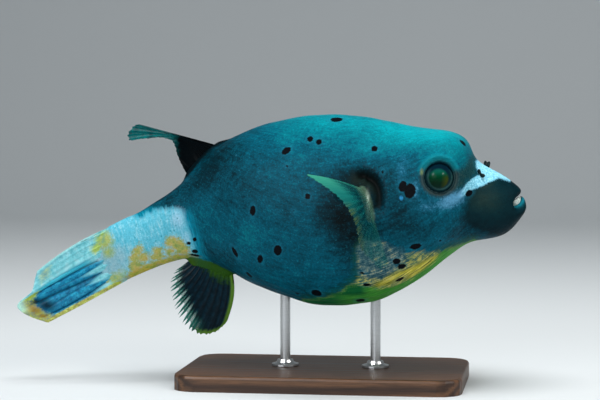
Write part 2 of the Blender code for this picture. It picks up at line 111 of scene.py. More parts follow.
# %% A smooth curve through any number of values
def spline(knots, values):
    """Natural cubic spline through rows of values, as a function of an array of places."""
    knots = np.asarray(knots, float)
    values = np.asarray(values, float)
    step = np.diff(knots)
    slope = np.diff(values, axis=0) / step[:, None]
    count = len(knots)
    system = np.eye(count)
    bend = np.zeros_like(values)
    for i in range(1, count - 1):
        system[i, i - 1:i + 2] = step[i - 1], 2 * (step[i - 1] + step[i]), step[i]
        bend[i] = 6 * (slope[i] - slope[i - 1])
    curve = np.linalg.solve(system, bend)

    def at(places):
        places = np.atleast_1d(np.asarray(places, float))
        i = np.clip(np.searchsorted(knots, places) - 1, 0, count - 2)
        h = step[i][:, None]
        a = (knots[i + 1] - places)[:, None] / h
        b = (places - knots[i])[:, None] / h
        return (a * values[i] + b * values[i + 1]
                + ((a ** 3 - a) * curve[i] + (b ** 3 - b) * curve[i + 1]) * h * h / 6)
    return at


def spline_by_length(points):
    points = np.asarray(points, float)
    run = np.concatenate([[0.0], np.cumsum(np.linalg.norm(np.diff(points, axis=0), axis=1))])
    return spline(run / run[-1], points)


def smooth(low, high, value):
    """0 below low, 1 above high, and an even S between."""
    share = np.clip((np.asarray(value, float) - low) / (high - low), 0.0, 1.0)
    return share * share * (3 - 2 * share)


def hill(distance, width):
    """1 on a line or point and near 0 beyond twice the width."""
    return np.exp(-(distance / width) ** 2)


NAMES = list(SECTIONS)
TABLE = np.array(list(SECTIONS.values()))
AXIS_STEP = np.linalg.norm(np.diff((TABLE[:, 0:2] + TABLE[:, 2:4]) / 2, axis=0), axis=1)
RUN = np.concatenate([[0.0], np.cumsum(np.hypot(AXIS_STEP, np.abs(np.diff(TABLE[:, 4]))))])
SECTION_AT = spline(RUN, TABLE)
RUN_OF = dict(zip(NAMES, RUN))
print("the skin's run from mouth to tail:", round(RUN[-1], 1), "mm")


# %% [markdown]
# The tail of a swimming fish sways. One function carries every point behind the trunk round an
# even arc, so skin and fins swing together and stay joined.

# %% The tail's sideways swing
def swing(points):
    points = np.array(points, float)
    x, y = points[..., 0], points[..., 1]
    behind = np.maximum(0.0, SWING_START - x)
    turned = SWING_ANGLE * np.minimum(behind / SWING_LENGTH, 1.0)
    radius = SWING_LENGTH / SWING_ANGLE
    straight = np.maximum(0.0, behind - SWING_LENGTH)
    base_x = np.where(behind > 0, SWING_START - radius * np.sin(turned) - straight * np.cos(turned), x)
    base_y = -radius * (1 - np.cos(turned)) - straight * np.sin(turned)
    out = points.copy()
    out[..., 0] = base_x - y * np.sin(turned)
    out[..., 1] = base_y + y * np.cos(turned)
    return out


def to_world(points):
    """Fish millimetres to metres in the world."""
    out = swing(points)
    out[..., 2] += BELLY_HEIGHT
    return out * MM


def fish_place(node):
    """Middle of a solid in front of the swing, in fish millimetres."""
    low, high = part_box(node)
    middle = (low + high) / 2 / MM
    return np.array([middle.x, middle.y, middle.z - BELLY_HEIGHT])


# %% [markdown]
# ## The bare body surface
#
# Rings of points follow the sections. They stand closest at the mouth and the eyes, where the shape
# is finest, and wider apart on the plain flanks. That keeps the mesh light without losing the lips.

# %% Rings and their points
RING_SPACING = (  # from this section on, millimetres between rings
    ("mouth_floor", 0.5), ("snout", 0.6), ("nape", 0.8), ("shoulder", 1.2),
    ("dorsal_front", 1.0), ("fin_edge", 1.0))
POINTS_ROUND = 264


def ring_runs():
    runs = []
    for (name, spacing), (following, _) in zip(RING_SPACING, RING_SPACING[1:]):
        low, high = RUN_OF[name], RUN_OF[following]
        count = max(1, round((high - low) / spacing))
        runs.append(low + (high - low) * np.arange(count) / count)
    return np.concatenate(runs + [[RUN[-1]]])


def body_surface(runs, angles):
    """Grid of points, angle 0 on the back and a quarter turn on the fish's left."""
    values = SECTION_AT(runs)
    back = np.stack([values[:, 0], values[:, 0] * 0, values[:, 1]], axis=1)[:, None]
    belly = np.stack([values[:, 2], values[:, 0] * 0, values[:, 3]], axis=1)[:, None]
    middle = belly + WIDEST_LEVEL * (back - belly)
    low, high = RUN_OF[CROWN_SPAN[0]], RUN_OF[CROWN_SPAN[1]]
    crown = np.sin(np.pi * np.clip((runs - low) / (high - low), 0, 1)) ** 2
    upper = np.cos(angles) > 0
    power = ROUND + (FLAT_CROWN - ROUND) * crown[:, None] * upper[None]
    across = np.sign(np.sin(angles)) * np.abs(np.sin(angles)) ** (2 / power)
    upward = np.abs(np.cos(angles)) ** (2 / power)
    spine = np.where(upper[None, :, None], back - middle, belly - middle)
    points = middle + spine * upward[..., None]
    points[..., 1] += values[:, 4:5] * across
    crest, end = RUN_OF["lip_crest"], RUN_OF["snout"]
    recess = np.clip(1 - np.maximum(0, runs - crest) / (end - crest), 0, 1) ** 1.5
    corner = recess[:, None] * np.sin(angles)[None] ** 4
    points[..., 0] += MOUTH_CORNER[0] * corner
    points[..., 2] += MOUTH_CORNER[1] * corner
    lower_lip = np.sin(angles) ** 2 * np.maximum(-np.cos(angles), 0)
    points[..., 2] -= LOWER_LIP_DIP * recess[:, None] * lower_lip
    return points


def grid_normals(points):
    along = np.gradient(points, axis=0)
    wrapped = np.concatenate([points[:, -1:], points, points[:, :1]], axis=1)
    around = (wrapped[:, 2:] - wrapped[:, :-2]) / 2
    normal = np.cross(around, along)
    return normal / np.maximum(np.linalg.norm(normal, axis=2, keepdims=True), 1e-9)


runs = ring_runs()
angles = 2 * np.pi * np.arange(POINTS_ROUND) / POINTS_ROUND
bare = body_surface(runs, angles)
normals = grid_normals(bare)
if (normals * (bare - bare.mean(axis=1, keepdims=True))).sum() < 0:
    normals = -normals
print("rings:", len(runs), "points:", bare.shape[0] * bare.shape[1])

# %% [markdown]
# ## Folds, lids and lobes
#
# A museum sculptor works the relief into the clay. Here each fold is a small formula that pushes the
# skin along its normal: ring-shaped lids that grip the eyeballs, a brow, the gill slit, and the
# fleshy lobes that the fins grow from. The bump of a material alone would vanish at the outline.

# %% The eyes' places and gaze
EYE_RADIUS = (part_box("eye_left")[1].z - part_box("eye_left")[0].z) / 2 / MM
EYE_FORWARD = math.radians(18)
EYE_UPWARD = math.radians(9)
EYE_FIELD = (-14.0, 4.0)     # least height on the eye's axis and least way off the fish's middle
FAR = 99.0                   # distance given to points that a field leaves out


def gaze_frame(side):
    """Eye centre and rows (forward, upward, outward) of the eye on one side, 1 left and -1 right."""
    centre = fish_place("eye_left" if side > 0 else "eye_right")
    outward = np.array([math.sin(EYE_FORWARD), side * math.cos(EYE_FORWARD), math.sin(EYE_UPWARD)])
    outward /= np.linalg.norm(outward)
    forward = np.array([1.0, 0, 0]) - outward[0] * outward
    forward /= np.linalg.norm(forward)
    upward = np.cross(forward, outward) * side
    return centre, np.array([forward, upward, outward])


def eye_coordinates(points, side):
    """Distance from the eye's axis, height along it and upwards share, for every point."""
    centre, rows = gaze_frame(side)
    local = (points - centre) @ rows.T
    out = np.hypot(local[..., 0], local[..., 1])
    near = (local[..., 2] > EYE_FIELD[0]) & (points[..., 1] * side > EYE_FIELD[1])
    return np.where(near, out, FAR), local[..., 2], local[..., 1] / np.maximum(out, 1e-6)


print("eye radius:", round(EYE_RADIUS, 2), "mm, gaze:", np.round(gaze_frame(-1)[1][2], 2))

# %% [markdown]
# The lids are a thick ring of skin. Their rim stands a little over the eyeball, the skin inside it
# tucks in behind, and fine creases run round it, as they do where loose skin closes over an eye.

# %% Lids that wrap the eyeballs
LID_EDGE = 7.6       # distance of the lid's rim from the eye's axis
LID_STEP = 0.7       # width of the step down to the eyeball
LID_TUCK = 2.2       # how far the skin passes under the eyeball's surface
LID_CREST = 1.4      # how far outside its rim the lid keeps its full height
LID_FADE = 13.5      # where the lid ends in the cheek
LID_RISE = 0.8       # how far the rim stands over the eyeball
BROW_RISE = 1.1      # the upper lid stands further out
BROW_DROOP = 0.45    # and hangs a little further over the eye
LID_CREASES = ((1.5, 0.55, -0.75), (2.7, 0.7, 0.25), (4.1, 0.6, -0.35))  # from the rim, width, height


def raise_lids(points, bare_points):
    for side in (1, -1):
        _, rows = gaze_frame(side)
        out, height, up = eye_coordinates(bare_points, side)
        out = out + BROW_DROOP * np.maximum(up, 0) * smooth(12, 7, out)
        ball = np.sqrt(np.maximum(EYE_RADIUS ** 2 - out ** 2, 0.0))
        rim = math.sqrt(EYE_RADIUS ** 2 - LID_EDGE ** 2) + LID_RISE + BROW_RISE * smooth(-0.2, 0.9, up)
        crest = rim + sum(rise * hill(out - LID_EDGE - place, width) for place, width, rise in LID_CREASES)
        fade = smooth(LID_FADE, LID_EDGE + LID_CREST, out)
        target = crest * fade + height * (1 - fade)
        inside = smooth(LID_EDGE, LID_EDGE - LID_STEP, out)
        target = target * (1 - inside) + (ball - LID_TUCK) * inside
        change = np.where(out < LID_FADE, target - height, 0.0)
        points += change[..., None] * rows[2]
    return points


def distance_to_line(points, start, end):
    """Distance to a segment and the share along it."""
    start, end = np.asarray(start, float), np.asarray(end, float)
    axis = end - start
    share = np.clip(((points - start) @ axis) / (axis @ axis), 0, 1)
    return np.linalg.norm(points - start - share[..., None] * axis, axis=-1), share


# %% [markdown]
# The fins of a puffer grow from soft lobes. A lobe is a ridge in the skin along the fin's root, so
# the fin seems to come out of the flesh and not to be stuck on.

# %% Fin roots, shared by the lobes and the fins
DORSAL_ROOT = [(-50.5, 79.5), (-60.0, 71.5), (-68.5, 62.5)]
ANAL_ROOT = [(-48.5, 19.0), (-57.5, 23.5), (-67.5, 25.5)]
CAUDAL_ROOT = [(-112.0, 38.5), (-107.5, 24.0), (-102.5, 11.5)]
PECTORAL_ROOT = [(24.0, 37.5, 60.0), (27.1, 38.5, 53.9), (28.4, 38.6, 46.5)]
LOBE_ENDS = (0.22, -0.1)         # a lobe runs out past its root's ends, in shares of its length
LOBE_DEPTH = 9.0                 # and reaches this far into the body
PECTORAL_LOBE = (5.2, 1.2, 3.0)  # from the root: where it starts, where it is full, and its height
PECTORAL_OUTWARD = (-0.35, 0.93, 0.1)


def raise_middle_lobe(points, bare_points, root, height, width, upper):
    ends = [np.array([x, 0.0, z]) for x, z in (root[0], root[-1])]
    flat = bare_points * np.array([1.0, 0.0, 1.0])
    axis = ends[1] - ends[0]
    outward = np.array([axis[2], 0.0, -axis[0]]) / np.linalg.norm(axis)
    outward *= 1 if (outward[2] > 0) == upper else -1
    beyond = np.abs(((flat - ends[0]) @ axis) / (axis @ axis) - 0.5) - 0.5
    near_root = ((bare_points - ends[0]) @ outward) > -LOBE_DEPTH
    amount = height * hill(bare_points[..., 1], width) * smooth(*LOBE_ENDS, beyond) * near_root
    return points + amount[..., None] * outward


def mirrored(points, side):
    """Points on the fish's left, or their mirror images on its right when side is -1."""
    return np.array(points, float) * (1.0, side, 1.0)


def root_distance(points, side):
    """Distance to the pectoral fin's root on one side."""
    top, middle, low = mirrored(PECTORAL_ROOT, side)
    return np.minimum(distance_to_line(points, top, middle)[0], distance_to_line(points, middle, low)[0])


def raise_pectoral_lobes(points, bare_points):
    start, full, height = PECTORAL_LOBE
    for side in (1, -1):
        amount = height * smooth(start, full, root_distance(bare_points, side))
        points = points + amount[..., None] * mirrored(PECTORAL_OUTWARD, side)
    return points


# %% [markdown]
# The gill opening of a puffer is a short curved slit just in front of the pectoral fin. It is cut
# as a narrow furrow with a raised edge in front of it.

# %% Gill slits, brows and small folds
GILL_SLIT = [(19.5, 66.5), (25.5, 68.0), (30.0, 64.6), (32.0, 59.5), (32.2, 53.5), (31.0, 47.5)]
GILL_STEPS = 60
GILL_FOLDS = ((-0.6, 2.0, -3.4), (3.0, 1.8, 0.8))   # from the slit, width, height: furrow and edge
ROUND_FOLDS = (  # x, y and z on the fish's left, width, height
    (24.0, 37.5, 66.0, 6.0, -2.6),    # hollow over the pectoral fin
    (61.0, 25.0, 80.5, 9.0, 1.5),     # brow
    (58.0, 34.0, 45.0, 15.0, 1.0))    # cheek
MOUTH_FOLD = ((76.5, 22.0, 56.0), (72.0, 20.0, 42.0), 4.5, -0.8)   # start, end, width, height
WRINKLE_HEIGHT = 0.22
WRINKLES_ROUND = 46
RIPPLE_HEIGHT = 0.16


def gill_distance(points):
    """Signed distance to the slit in side view, positive towards the snout, and the share along it."""
    curve = spline_by_length(GILL_SLIT)(np.linspace(0, 1, GILL_STEPS))
    side_view = points[..., [0, 2]]
    best = np.full(side_view.shape[:2], FAR)
    sign = np.ones_like(best)
    along = np.zeros_like(best)
    for k, (x, z) in enumerate(curve):
        distance = np.hypot(side_view[..., 0] - x, side_view[..., 1] - z)
        closer = distance < best
        best = np.where(closer, distance, best)
        sign = np.where(closer, np.sign(side_view[..., 0] - x), sign)
        along = np.where(closer, k / (GILL_STEPS - 1), along)
    best = np.where(np.abs(points[..., 1]) > 20, best, FAR)
    return best * sign, along


def fold_skin(points, outward):
    x, y, z = np.moveaxis(points, -1, 0)
    gill, along = gill_distance(points)
    furrow = sum(height * hill(gill - place, width) for place, width, height in GILL_FOLDS)
    amount = furrow * smooth(0.0, 0.12, along) * smooth(1.0, 0.85, along)
    start, end, fold_width, fold_height = MOUTH_FOLD
    for side in (1, -1):
        for *place, width, height in ROUND_FOLDS:
            amount += height * hill(np.linalg.norm(points - mirrored(place, side), axis=-1), width)
        beside_mouth, _ = distance_to_line(points, mirrored(start, side), mirrored(end, side))
        amount += fold_height * hill(beside_mouth, fold_width)
    across = np.arctan2(y, 50 - z)
    belly = smooth(1.25, 0.7, np.abs(across)) * smooth(74, 55, x) * smooth(-45, -5, x)
    amount += WRINKLE_HEIGHT * belly * np.sin(across * WRINKLES_ROUND + 1.2 * np.sin(x / 9.0))
    ripple = np.sin(x / 4.1 + 2 * np.sin(z / 7.3)) * np.sin(z / 5.3 + 1.7 * np.sin(x / 8.9 + y / 6.1))
    amount += RIPPLE_HEIGHT * ripple * smooth(90, 70, x)
    return points + amount[..., None] * outward


skin_points = fold_skin(bare, normals)
skin_points = raise_middle_lobe(skin_points, bare, DORSAL_ROOT, 2.2, 2.2, True)
skin_points = raise_middle_lobe(skin_points, bare, ANAL_ROOT, 4.5, 2.4, False)
skin_points = raise_pectoral_lobes(skin_points, bare)
skin_points = raise_lids(skin_points, bare)
print("largest move of the relief:", round(float(np.abs(skin_points - bare).max()), 1), "mm")

# %% [markdown]
# ## The markings as fields
#
# A painter would mask each patch of colour. Here every patch is a field: a number at each point of
# the skin that says how far it is, in millimetres, from the patch's edge. The material turns the
# fields into colours and roughens their edges, so the edges stay crisp at any distance.

# %% Signed distances
def along_and_across(points, x, z, tilt=0.0):
    """Side-view way of points from a place, along a tilted line and across it."""
    c, s = math.cos(math.radians(tilt)), math.sin(math.radians(tilt))
    dx, dz = points[..., 0] - x, points[..., 2] - z
    return dx * c + dz * s, dz * c - dx * s


def oval_distance(points, x, z, long, wide, tilt=0.0, sideways=0.0):
    """Rough distance to an oval in side view, negative inside; sideways adds to the way across it."""
    along, across = along_and_across(points, x, z, tilt)
    return (np.hypot(along / long, np.hypot(across, sideways) / wide) - 1) * min(long, wide)


def soft_oval(points, x, z, long, high, tilt=0.0):
    """1 in the middle of an oval in side view, fading outwards."""
    along, across = along_and_across(points, x, z, tilt)
    return np.exp(-(along / long) ** 2 - (across / high) ** 2)


def outline_distance(points, corners):
    """Distance to a closed outline in side view, negative inside."""
    across, up = points[..., 0], points[..., 2]
    best = np.full(across.shape, FAR)
    inside = np.zeros(across.shape, bool)
    for (x0, z0), (x1, z1) in zip(corners, corners[1:] + corners[:1]):
        run, rise = x1 - x0, z1 - z0
        share = np.clip(((across - x0) * run + (up - z0) * rise) / (run * run + rise * rise), 0, 1)
        best = np.minimum(best, np.hypot(across - x0 - share * run, up - z0 - share * rise))
        if rise:
            inside ^= ((z0 > up) != (z1 > up)) & (across < x0 + (up - z0) * run / rise)
    return np.where(inside, -best, best)


print("a point 3 mm off a 2 mm oval:", float(oval_distance(np.array([5.0, 0, 0]), 0, 0, 2, 2)), "mm away")

# %% [markdown]
# The dark spots differ from fish to fish. Those of the right side are listed one by one, and the left
# side gets its own from a seeded scatter, because no fish is the same on both sides.

# %% The spots
RIGHT_SPOTS = [  # x, z, half length, half width, tilt in degrees
    (-15.6, 79.0, 2.6, 1.6, 35), (-4.1, 84.8, 1.5, 1.5, 0), (0.5, 83.3, 1.5, 1.4, 0),
    (7.4, 94.4, 3.0, 1.4, 0), (28.2, 80.3, 1.5, 1.4, 0), (33.0, 69.2, 0.7, 0.9, 0),
    (42.8, 62.0, 2.6, 1.9, 75), (46.4, 59.8, 3.6, 2.7, 82), (-31.8, 49.4, 2.6, 1.5, 80),
    (-3.6, 57.0, 1.6, 1.3, 80), (-10.5, 49.6, 0.8, 0.7, 0), (-14.7, 71.5, 0.7, 0.6, 0),
    (-42.6, 28.0, 3.0, 1.2, -65), (-28.8, 25.1, 2.3, 1.5, 75), (-19.0, 30.0, 2.8, 2.0, 75),
    (-36.4, 16.1, 2.2, 0.9, -50), (-66.1, 33.5, 1.2, 1.0, 60), (-69.6, 31.4, 1.1, 0.8, 0),
    (-66.5, 26.9, 1.7, 1.1, 0), (-66.6, 24.8, 2.6, 0.7, -8), (-1.1, 8.0, 2.6, 1.7, -10),
    (-11.5, 7.1, 1.1, 0.9, 0), (19.8, 3.7, 2.2, 1.2, 0), (39.6, 25.0, 1.9, 1.5, 0),
    (41.8, 22.3, 2.1, 1.2, 15), (40.3, 15.3, 2.2, 1.0, 30), (24.6, 12.9, 2.1, 0.9, 0),
    (22.7, 19.1, 1.0, 0.6, 0), (48.8, 32.6, 2.8, 1.4, 12), (74.7, 58.3, 2.0, 1.45, 30),
    (70.8, 82.8, 2.0, 1.0, -35), (60.4, 35.3, 0.6, 0.5, 0)]
SPOTS_LEFT = 30
SPOT_SEED = 7
SPOT_SPACING = 9.0
SPOT_HALF_WIDTHS = (0.7, 2.4)
EYE_CLEARANCE = 13.0     # no seeded spot comes nearer to the eye than this
SPOT_WRAP = 0.35         # share of a step towards the fish's middle that counts, or spots stretch there


def left_spots():
    chance = np.random.default_rng(SPOT_SEED)
    found = []
    while len(found) < SPOTS_LEFT:
        x, z = chance.uniform(-70, 66), chance.uniform(4, 92)
        size = chance.uniform(*SPOT_HALF_WIDTHS)
        clear = all(math.hypot(x - spot[0], z - spot[1]) > SPOT_SPACING for spot in found)
        on_body = abs(z - 50) < 46 - max(0, -x - 10) * 0.62
        if clear and on_body and math.hypot(x - 58, z - 66) > EYE_CLEARANCE:
            found.append((x, z, size * chance.uniform(1.0, 1.5), size, chance.uniform(-80, 80)))
    return found


def spot_distance(points):
    field = np.full(points.shape[:2], 9.0)
    for side, spots in ((-1, RIGHT_SPOTS), (1, left_spots())):
        own_side = points[..., 1] * side > 0.5
        for spot in spots:
            gap = np.hypot(points[..., 0] - spot[0], points[..., 2] - spot[1])
            centre = points[..., 1].flat[np.argmin(np.where(own_side, gap, FAR))]
            distance = oval_distance(points, *spot, sideways=SPOT_WRAP * (points[..., 1] - centre))
            field = np.where(own_side, np.minimum(field, distance), field)
    return field


spot_field = spot_distance(bare)
print("spots:", len(RIGHT_SPOTS), "right,", SPOTS_LEFT, "left; share of the skin:",
      round(float((spot_field < 0).mean()), 4))

# %% [markdown]
# An airbrush gives the soft lights and darks of the ground colour. Each stroke is an oval with a
# soft edge that lifts or lowers one tone number; the material turns the tone into colour. Two strokes
# are painted shade: a shadow behind the pectoral fin and the shade in the hollow over it.

# %% The airbrushed tone
TONE_AND_SHADE_STROKES = [  # amount, then x, z, half length, half height, tilt in degrees
    (0.25, 58, 86, 24, 11, -6), (0.07, 34, 90, 26, 9, 0), (0.05, 30, 78, 16, 8, 0),
    (-0.29, -55, 74, 17, 8, 42), (-0.17, -40, 64, 14, 12, 0), (-0.03, -60, 58, 12, 10, 40),
    (0.08, -36, 33, 12, 10, 0), (-0.18, -52, 24, 14, 9, 0), (-0.22, -82, 55, 16, 7, 25),
    (-0.04, -10, 28, 18, 9, 0), (-0.07, -6, 52, 26, 17, 0), (-0.20, 40, 47, 11, 16, 0),
    # the last stroke on the next line, at x 13, is painted shadow behind the pectoral fin
    (-0.06, 54, 42, 14, 9, 0), (-0.16, 74, 38, 13, 8, 0), (-0.40, 13, 45, 9, 17, 8),
    # the first stroke on the next line, at x 22, is painted shade in the hollow over the pectoral fin
    (-0.36, 22, 65, 11, 8, 0), (-0.16, 25, 52, 6, 12, 0), (-0.14, 24, 34, 8, 8, 0),
    (-0.10, 0, 8, 60, 8, 0), (-0.08, 48, 72, 6, 8, 0), (-0.06, 38, 68, 8, 6, 0)]
BACK_LIGHT = 0.26
MIDDLE_TONE = 0.5


def airbrush(points):
    tone = MIDDLE_TONE + BACK_LIGHT * smooth(76, 98, points[..., 2]) * smooth(-40, 0, points[..., 0])
    for amount, *oval in TONE_AND_SHADE_STROKES:
        tone = tone + amount * soft_oval(points, *oval)
    return np.clip(tone, 0.0, 1.0)


tone_field = airbrush(bare)
print("tone from", round(float(tone_field.min()), 2), "to", round(float(tone_field.max()), 2))

# %% [markdown]
# The larger patches are drawn as closed outlines in side view: the pale band over the snout that runs
# back under the eye, the dark muzzle and the mask behind it, the yellow belly with its lilac wrinkles,
# the painted shade in the hollow round the fin's base and the pale tail stalk with ochre blotches.

# %% The larger patches
OUTLINES = {
    "band": [(77.2, 74), (77.7, 70.4), (79.1, 67), (76.7, 66), (73.8, 63.7), (71.9, 61.1), (70, 59.4),
        (68.6, 57.6), (69.4, 56.2), (71.1, 56.5), (73.4, 57.9), (75.8, 59.7), (78.7, 60.9), (81.6, 62.1),
        (83.5, 63.1), (85.8, 63.9), (88.5, 65.3), (91.1, 64.5), (94, 63.2), (95, 66), (85, 77)],
    "muzzle": [(98, 70), (91, 70.5), (84, 68), (78.7, 65.5), (74.5, 62.5), (71, 56.5), (69.8, 50),
        (68.5, 45.5), (70.5, 40.5), (77, 36.5), (86, 32.5), (92, 30), (106, 40), (106, 66)],
    "mask": [(76, 78), (77.2, 74), (78, 69.3), (79.1, 67), (76.7, 66), (73.8, 63.7), (71.9, 61.1),
        (69, 59.5), (65.5, 60), (64.5, 64), (66, 68.5), (69.5, 69.8), (72.5, 72)],
    # the hollow's outline takes painted shade over the pectoral fin's base
    "hollow": [(16, 66), (18, 69), (21.7, 71), (25.6, 70.8), (29, 68.5), (31.3, 64), (32.8, 59),
        (32.5, 54), (31.1, 49.5), (29, 51), (28, 57), (25.4, 60.5), (21, 62), (17, 62.5)],
    "belly": [(76.5, 33.5), (67, 30.7), (60.3, 29.3), (51.6, 29.5), (44.6, 28.3), (41.3, 29),
        (37.4, 29.8), (35, 32.8), (29.9, 34), (24.1, 34.2), (21.9, 31), (21.8, 26), (22.2, 21),
        (20, 15.3), (15.9, 11.7), (10.7, 8), (2.5, 5), (-9, 3), (-20, -6), (77, -6)],
    "gold": [(60, 28.2), (55.2, 26.7), (50.6, 24.3), (45.9, 22.1), (40.7, 20.4), (36.7, 17.9),
        (33.2, 15.6), (27, 13.9), (26.5, 10.5), (32.5, 11.2), (37.8, 12.5), (42.5, 13.9), (47.5, 15.8),
        (52, 18.6), (56.2, 21.8), (59.5, 25)],
    "leaf": [(78, 36), (67, 30), (62.4, 28.1), (59.8, 26), (56.2, 21.8), (52, 18.6), (47, 15),
        (42.4, 12.6), (37.7, 10.8), (32.4, 9.6), (27, 10), (21, 12), (15.3, 11.5), (9, 8.5), (2, 6.2),
        (-6, 4.2), (-25, 1), (-30, -8), (85, -8)],
    "lilac": [(42, 29.8), (37.4, 30.2), (35, 32.8), (29.9, 34), (24.1, 34.2), (22, 31.1), (22.3, 25),
        (22.2, 20.3), (25.2, 17), (31.3, 17), (36.4, 20), (40, 23.6), (42.6, 26.7)],
    "stalk": [(-101, 52), (-99.5, 46.5), (-97.5, 44.5), (-94.5, 44.5), (-92.5, 46.5), (-89, 47.5),
        (-86, 48.8), (-82.5, 49.2), (-78, 49.5), (-73.5, 48.8), (-72, 45.5), (-70, 41.3), (-68.5, 38),
        (-67, 34), (-66.2, 30), (-65.8, 26.5), (-64.5, 22), (-64, 8), (-135, -5), (-135, 62)],
}
OCHRE = [(-75.2, 30.0, 3.4, 2.8, -20), (-78.6, 32.0, 3.0, 2.2, 30), (-73.0, 27.6, 3.2, 2.2, -20),
         (-79.5, 27.2, 2.0, 1.2, 0), (-86.5, 27.0, 1.8, 1.6, 0), (-86.6, 24.0, 2.6, 1.5, 0),
         (-93.8, 23.6, 2.4, 2.0, 0), (-97.0, 26.9, 1.6, 2.6, -35), (-98.6, 23.4, 2.0, 2.2, 20),
         (-98.0, 18.6, 2.4, 3.6, 10), (-98.6, 14.8, 2.6, 2.0, 30), (-92.5, 17.6, 4.6, 2.2, 25),
         (-83.5, 21.6, 4.6, 1.2, 8), (-76.0, 24.2, 3.8, 0.9, 0)]
LEMON = [(-114.5, 32.6, 4.6, 4.6, 20), (-112.0, 26.4, 2.4, 2.4, 0), (-109.0, 12.6, 5.0, 2.0, 35)]
fields = {label: outline_distance(bare, corners) for label, corners in OUTLINES.items()}
for label, ovals in (("ochre_mm", OCHRE), ("lemon_mm", LEMON)):
    fields[label] = np.minimum.reduce([oval_distance(bare, *oval) for oval in ovals])
print("patches:", ", ".join(fields))

# %% [markdown]
# The last fields are soft: pale patches beside the eye and a painted highlight behind it, the lips with
# a painted highlight on the lower lip, the fins' fleshy lobes with a painted highlight on the pectoral
# base, the gill opening and the shares by which one colour fades into another along the body.

# %% Soft fields
STALK_FLOOR = [(-103, 11.2), (-90, 17.3), (-76, 21.7), (-64, 22.7), (-50, 17.6)]   # its underside, x and z
LOBES = {"anal_lobe": ((-47.0, 0, 14.5), (-68.0, 0, 21.5), 7.5, 2.5),   # start, end, none, full
         "dorsal_lobe": ((-50.5, 0, 82.0), (-70.5, 0, 65.5), 5.5, 0.5)}


def glow(*oval, strength=1.0):
    return strength * soft_oval(bare, *oval)


x, y, z = np.moveaxis(bare, -1, 0)
stalk_floor = np.interp(x, *zip(*STALK_FLOOR))
gill_signed, gill_along = gill_distance(bare)
root_mm = np.minimum(root_distance(bare, 1), root_distance(bare, -1))
all_round = np.ones_like(x)
lip_crest, mouth_rim = RUN_OF["lip_crest"], RUN_OF["mouth_rim"]
left_eye, right_eye = [eye_coordinates(bare, side) for side in (1, -1)]
fields.update({
    "tone": tone_field,
    "spot_mm": spot_field,
    "muzzle_brown": np.maximum(glow(82, 55, 12, 9, -15), glow(82.5, 61.3, 7.0, 2.2, 24, strength=0.95)),
    "under_eye": np.maximum.reduce([
        glow(66.8, 55.8, 8.5, 4.4, 25), glow(57.5, 53.0, 8.0, 3.8, 10, strength=0.5),
        glow(48.6, 60.0, 2.6, 5.0, strength=0.6), glow(42.0, 70.0, 4.0, 8.0, strength=0.35)]),
    "pale_patch": glow(-75.5, 44.0, 4.0, 5.5) + glow(-71, 34, 3, 5, strength=0.6),
    "eye_glint": glow(51.6, 68.9, 0.9, 1.7),
    "blue_dot": glow(42.2, 56.4, 1.1, 1.3),
    "olive": smooth(54, 66, x),
    "green_edge": np.maximum(smooth(54, 66, x), smooth(30, 20, x) * smooth(-25, -5, x)),
    "band_fade": smooth(69.0, 75.0, x),
    "deep_green": np.maximum(smooth(21, 2, x), smooth(26, 20, x) * smooth(4.5, 8.5, z)),
    "under_fringe": smooth(51, 46, z),
    "rear": smooth(-97, -107, x) * smooth(34, 26, z),
    "under_stalk": smooth(5.0, 1.5, z - stalk_floor),
    "eye_mm": np.where(y > 0, left_eye[0], right_eye[0]),
    "eye_up": np.where(y > 0, left_eye[2], right_eye[2]),
    "gill": hill(gill_signed + 0.6, 2.2) * smooth(0.0, 0.12, gill_along) * smooth(1.0, 0.75, gill_along),
    "pad": smooth(3.6, 1.6, root_mm),
    "pad_glint": hill((x - 27.6) + 0.12 * (z - 53), 0.5) * hill(z - 53.5, 4.0) * smooth(30, 34, np.abs(y)),
    "lips": smooth(RUN_OF["lip_root"], lip_crest, runs)[:, None] * all_round,
    "lower_lip_highlight": hill(runs - lip_crest + 0.8, 1.1)[:, None] * smooth(0.1, -0.5, np.cos(angles)),
    "mouth_inside_shade": smooth(mouth_rim, mouth_rim - 0.9, runs)[:, None] * all_round,
})
for label, (start, end, none, full) in LOBES.items():
    fields[label] = smooth(none, full, distance_to_line(bare, start, end)[0])
print("fields:", ", ".join(fields))


# %% [markdown]
# ## From numbers to meshes
#
# A grid of points becomes a mesh with one call. Each field is stored as an attribute, which the
# materials read by name.

# %% Mesh helpers
def make_piece(name, points, faces, values=None, vectors=None):
    """A smooth mesh object, with its fields of numbers and of places."""
    mesh = bpy.data.meshes.new(name)
    mesh.from_pydata([tuple(p) for p in points], [], faces)
    for kind, entry, arrays in (("FLOAT", "value", values), ("FLOAT_VECTOR", "vector", vectors)):
        for label, data in (arrays or {}).items():
            stored = mesh.attributes.new(label, kind, "POINT")
            stored.data.foreach_set(entry, np.ravel(data).astype(np.float32))
    mesh.shade_smooth()
    mesh.validate()
    piece = bpy.data.objects.new(name, mesh)
    bpy.context.scene.collection.objects.link(piece)
    return piece


def tube_faces(rings, around):
    """Quads of a tube of closed rings, then a fan at each end on two extra points."""
    faces = []
    for i in range(rings - 1):
        for k in range(around):
            n = (k + 1) % around
            faces.append((i * around + k, (i + 1) * around + k, (i + 1) * around + n, i * around + n))
    first, last = rings * around, rings * around + 1
    top = (rings - 1) * around
    faces += [(k, (k + 1) % around, first) for k in range(around)]
    faces += [(top + (k + 1) % around, top + k, last) for k in range(around)]
    return faces


def with_ends(grid):
    """A grid's points or numbers in one list, with the middle of its first and last ring added."""
    flat = grid.reshape(-1, *grid.shape[2:])
    return np.concatenate([flat, [grid[0].mean(axis=0)], [grid[-1].mean(axis=0)]])


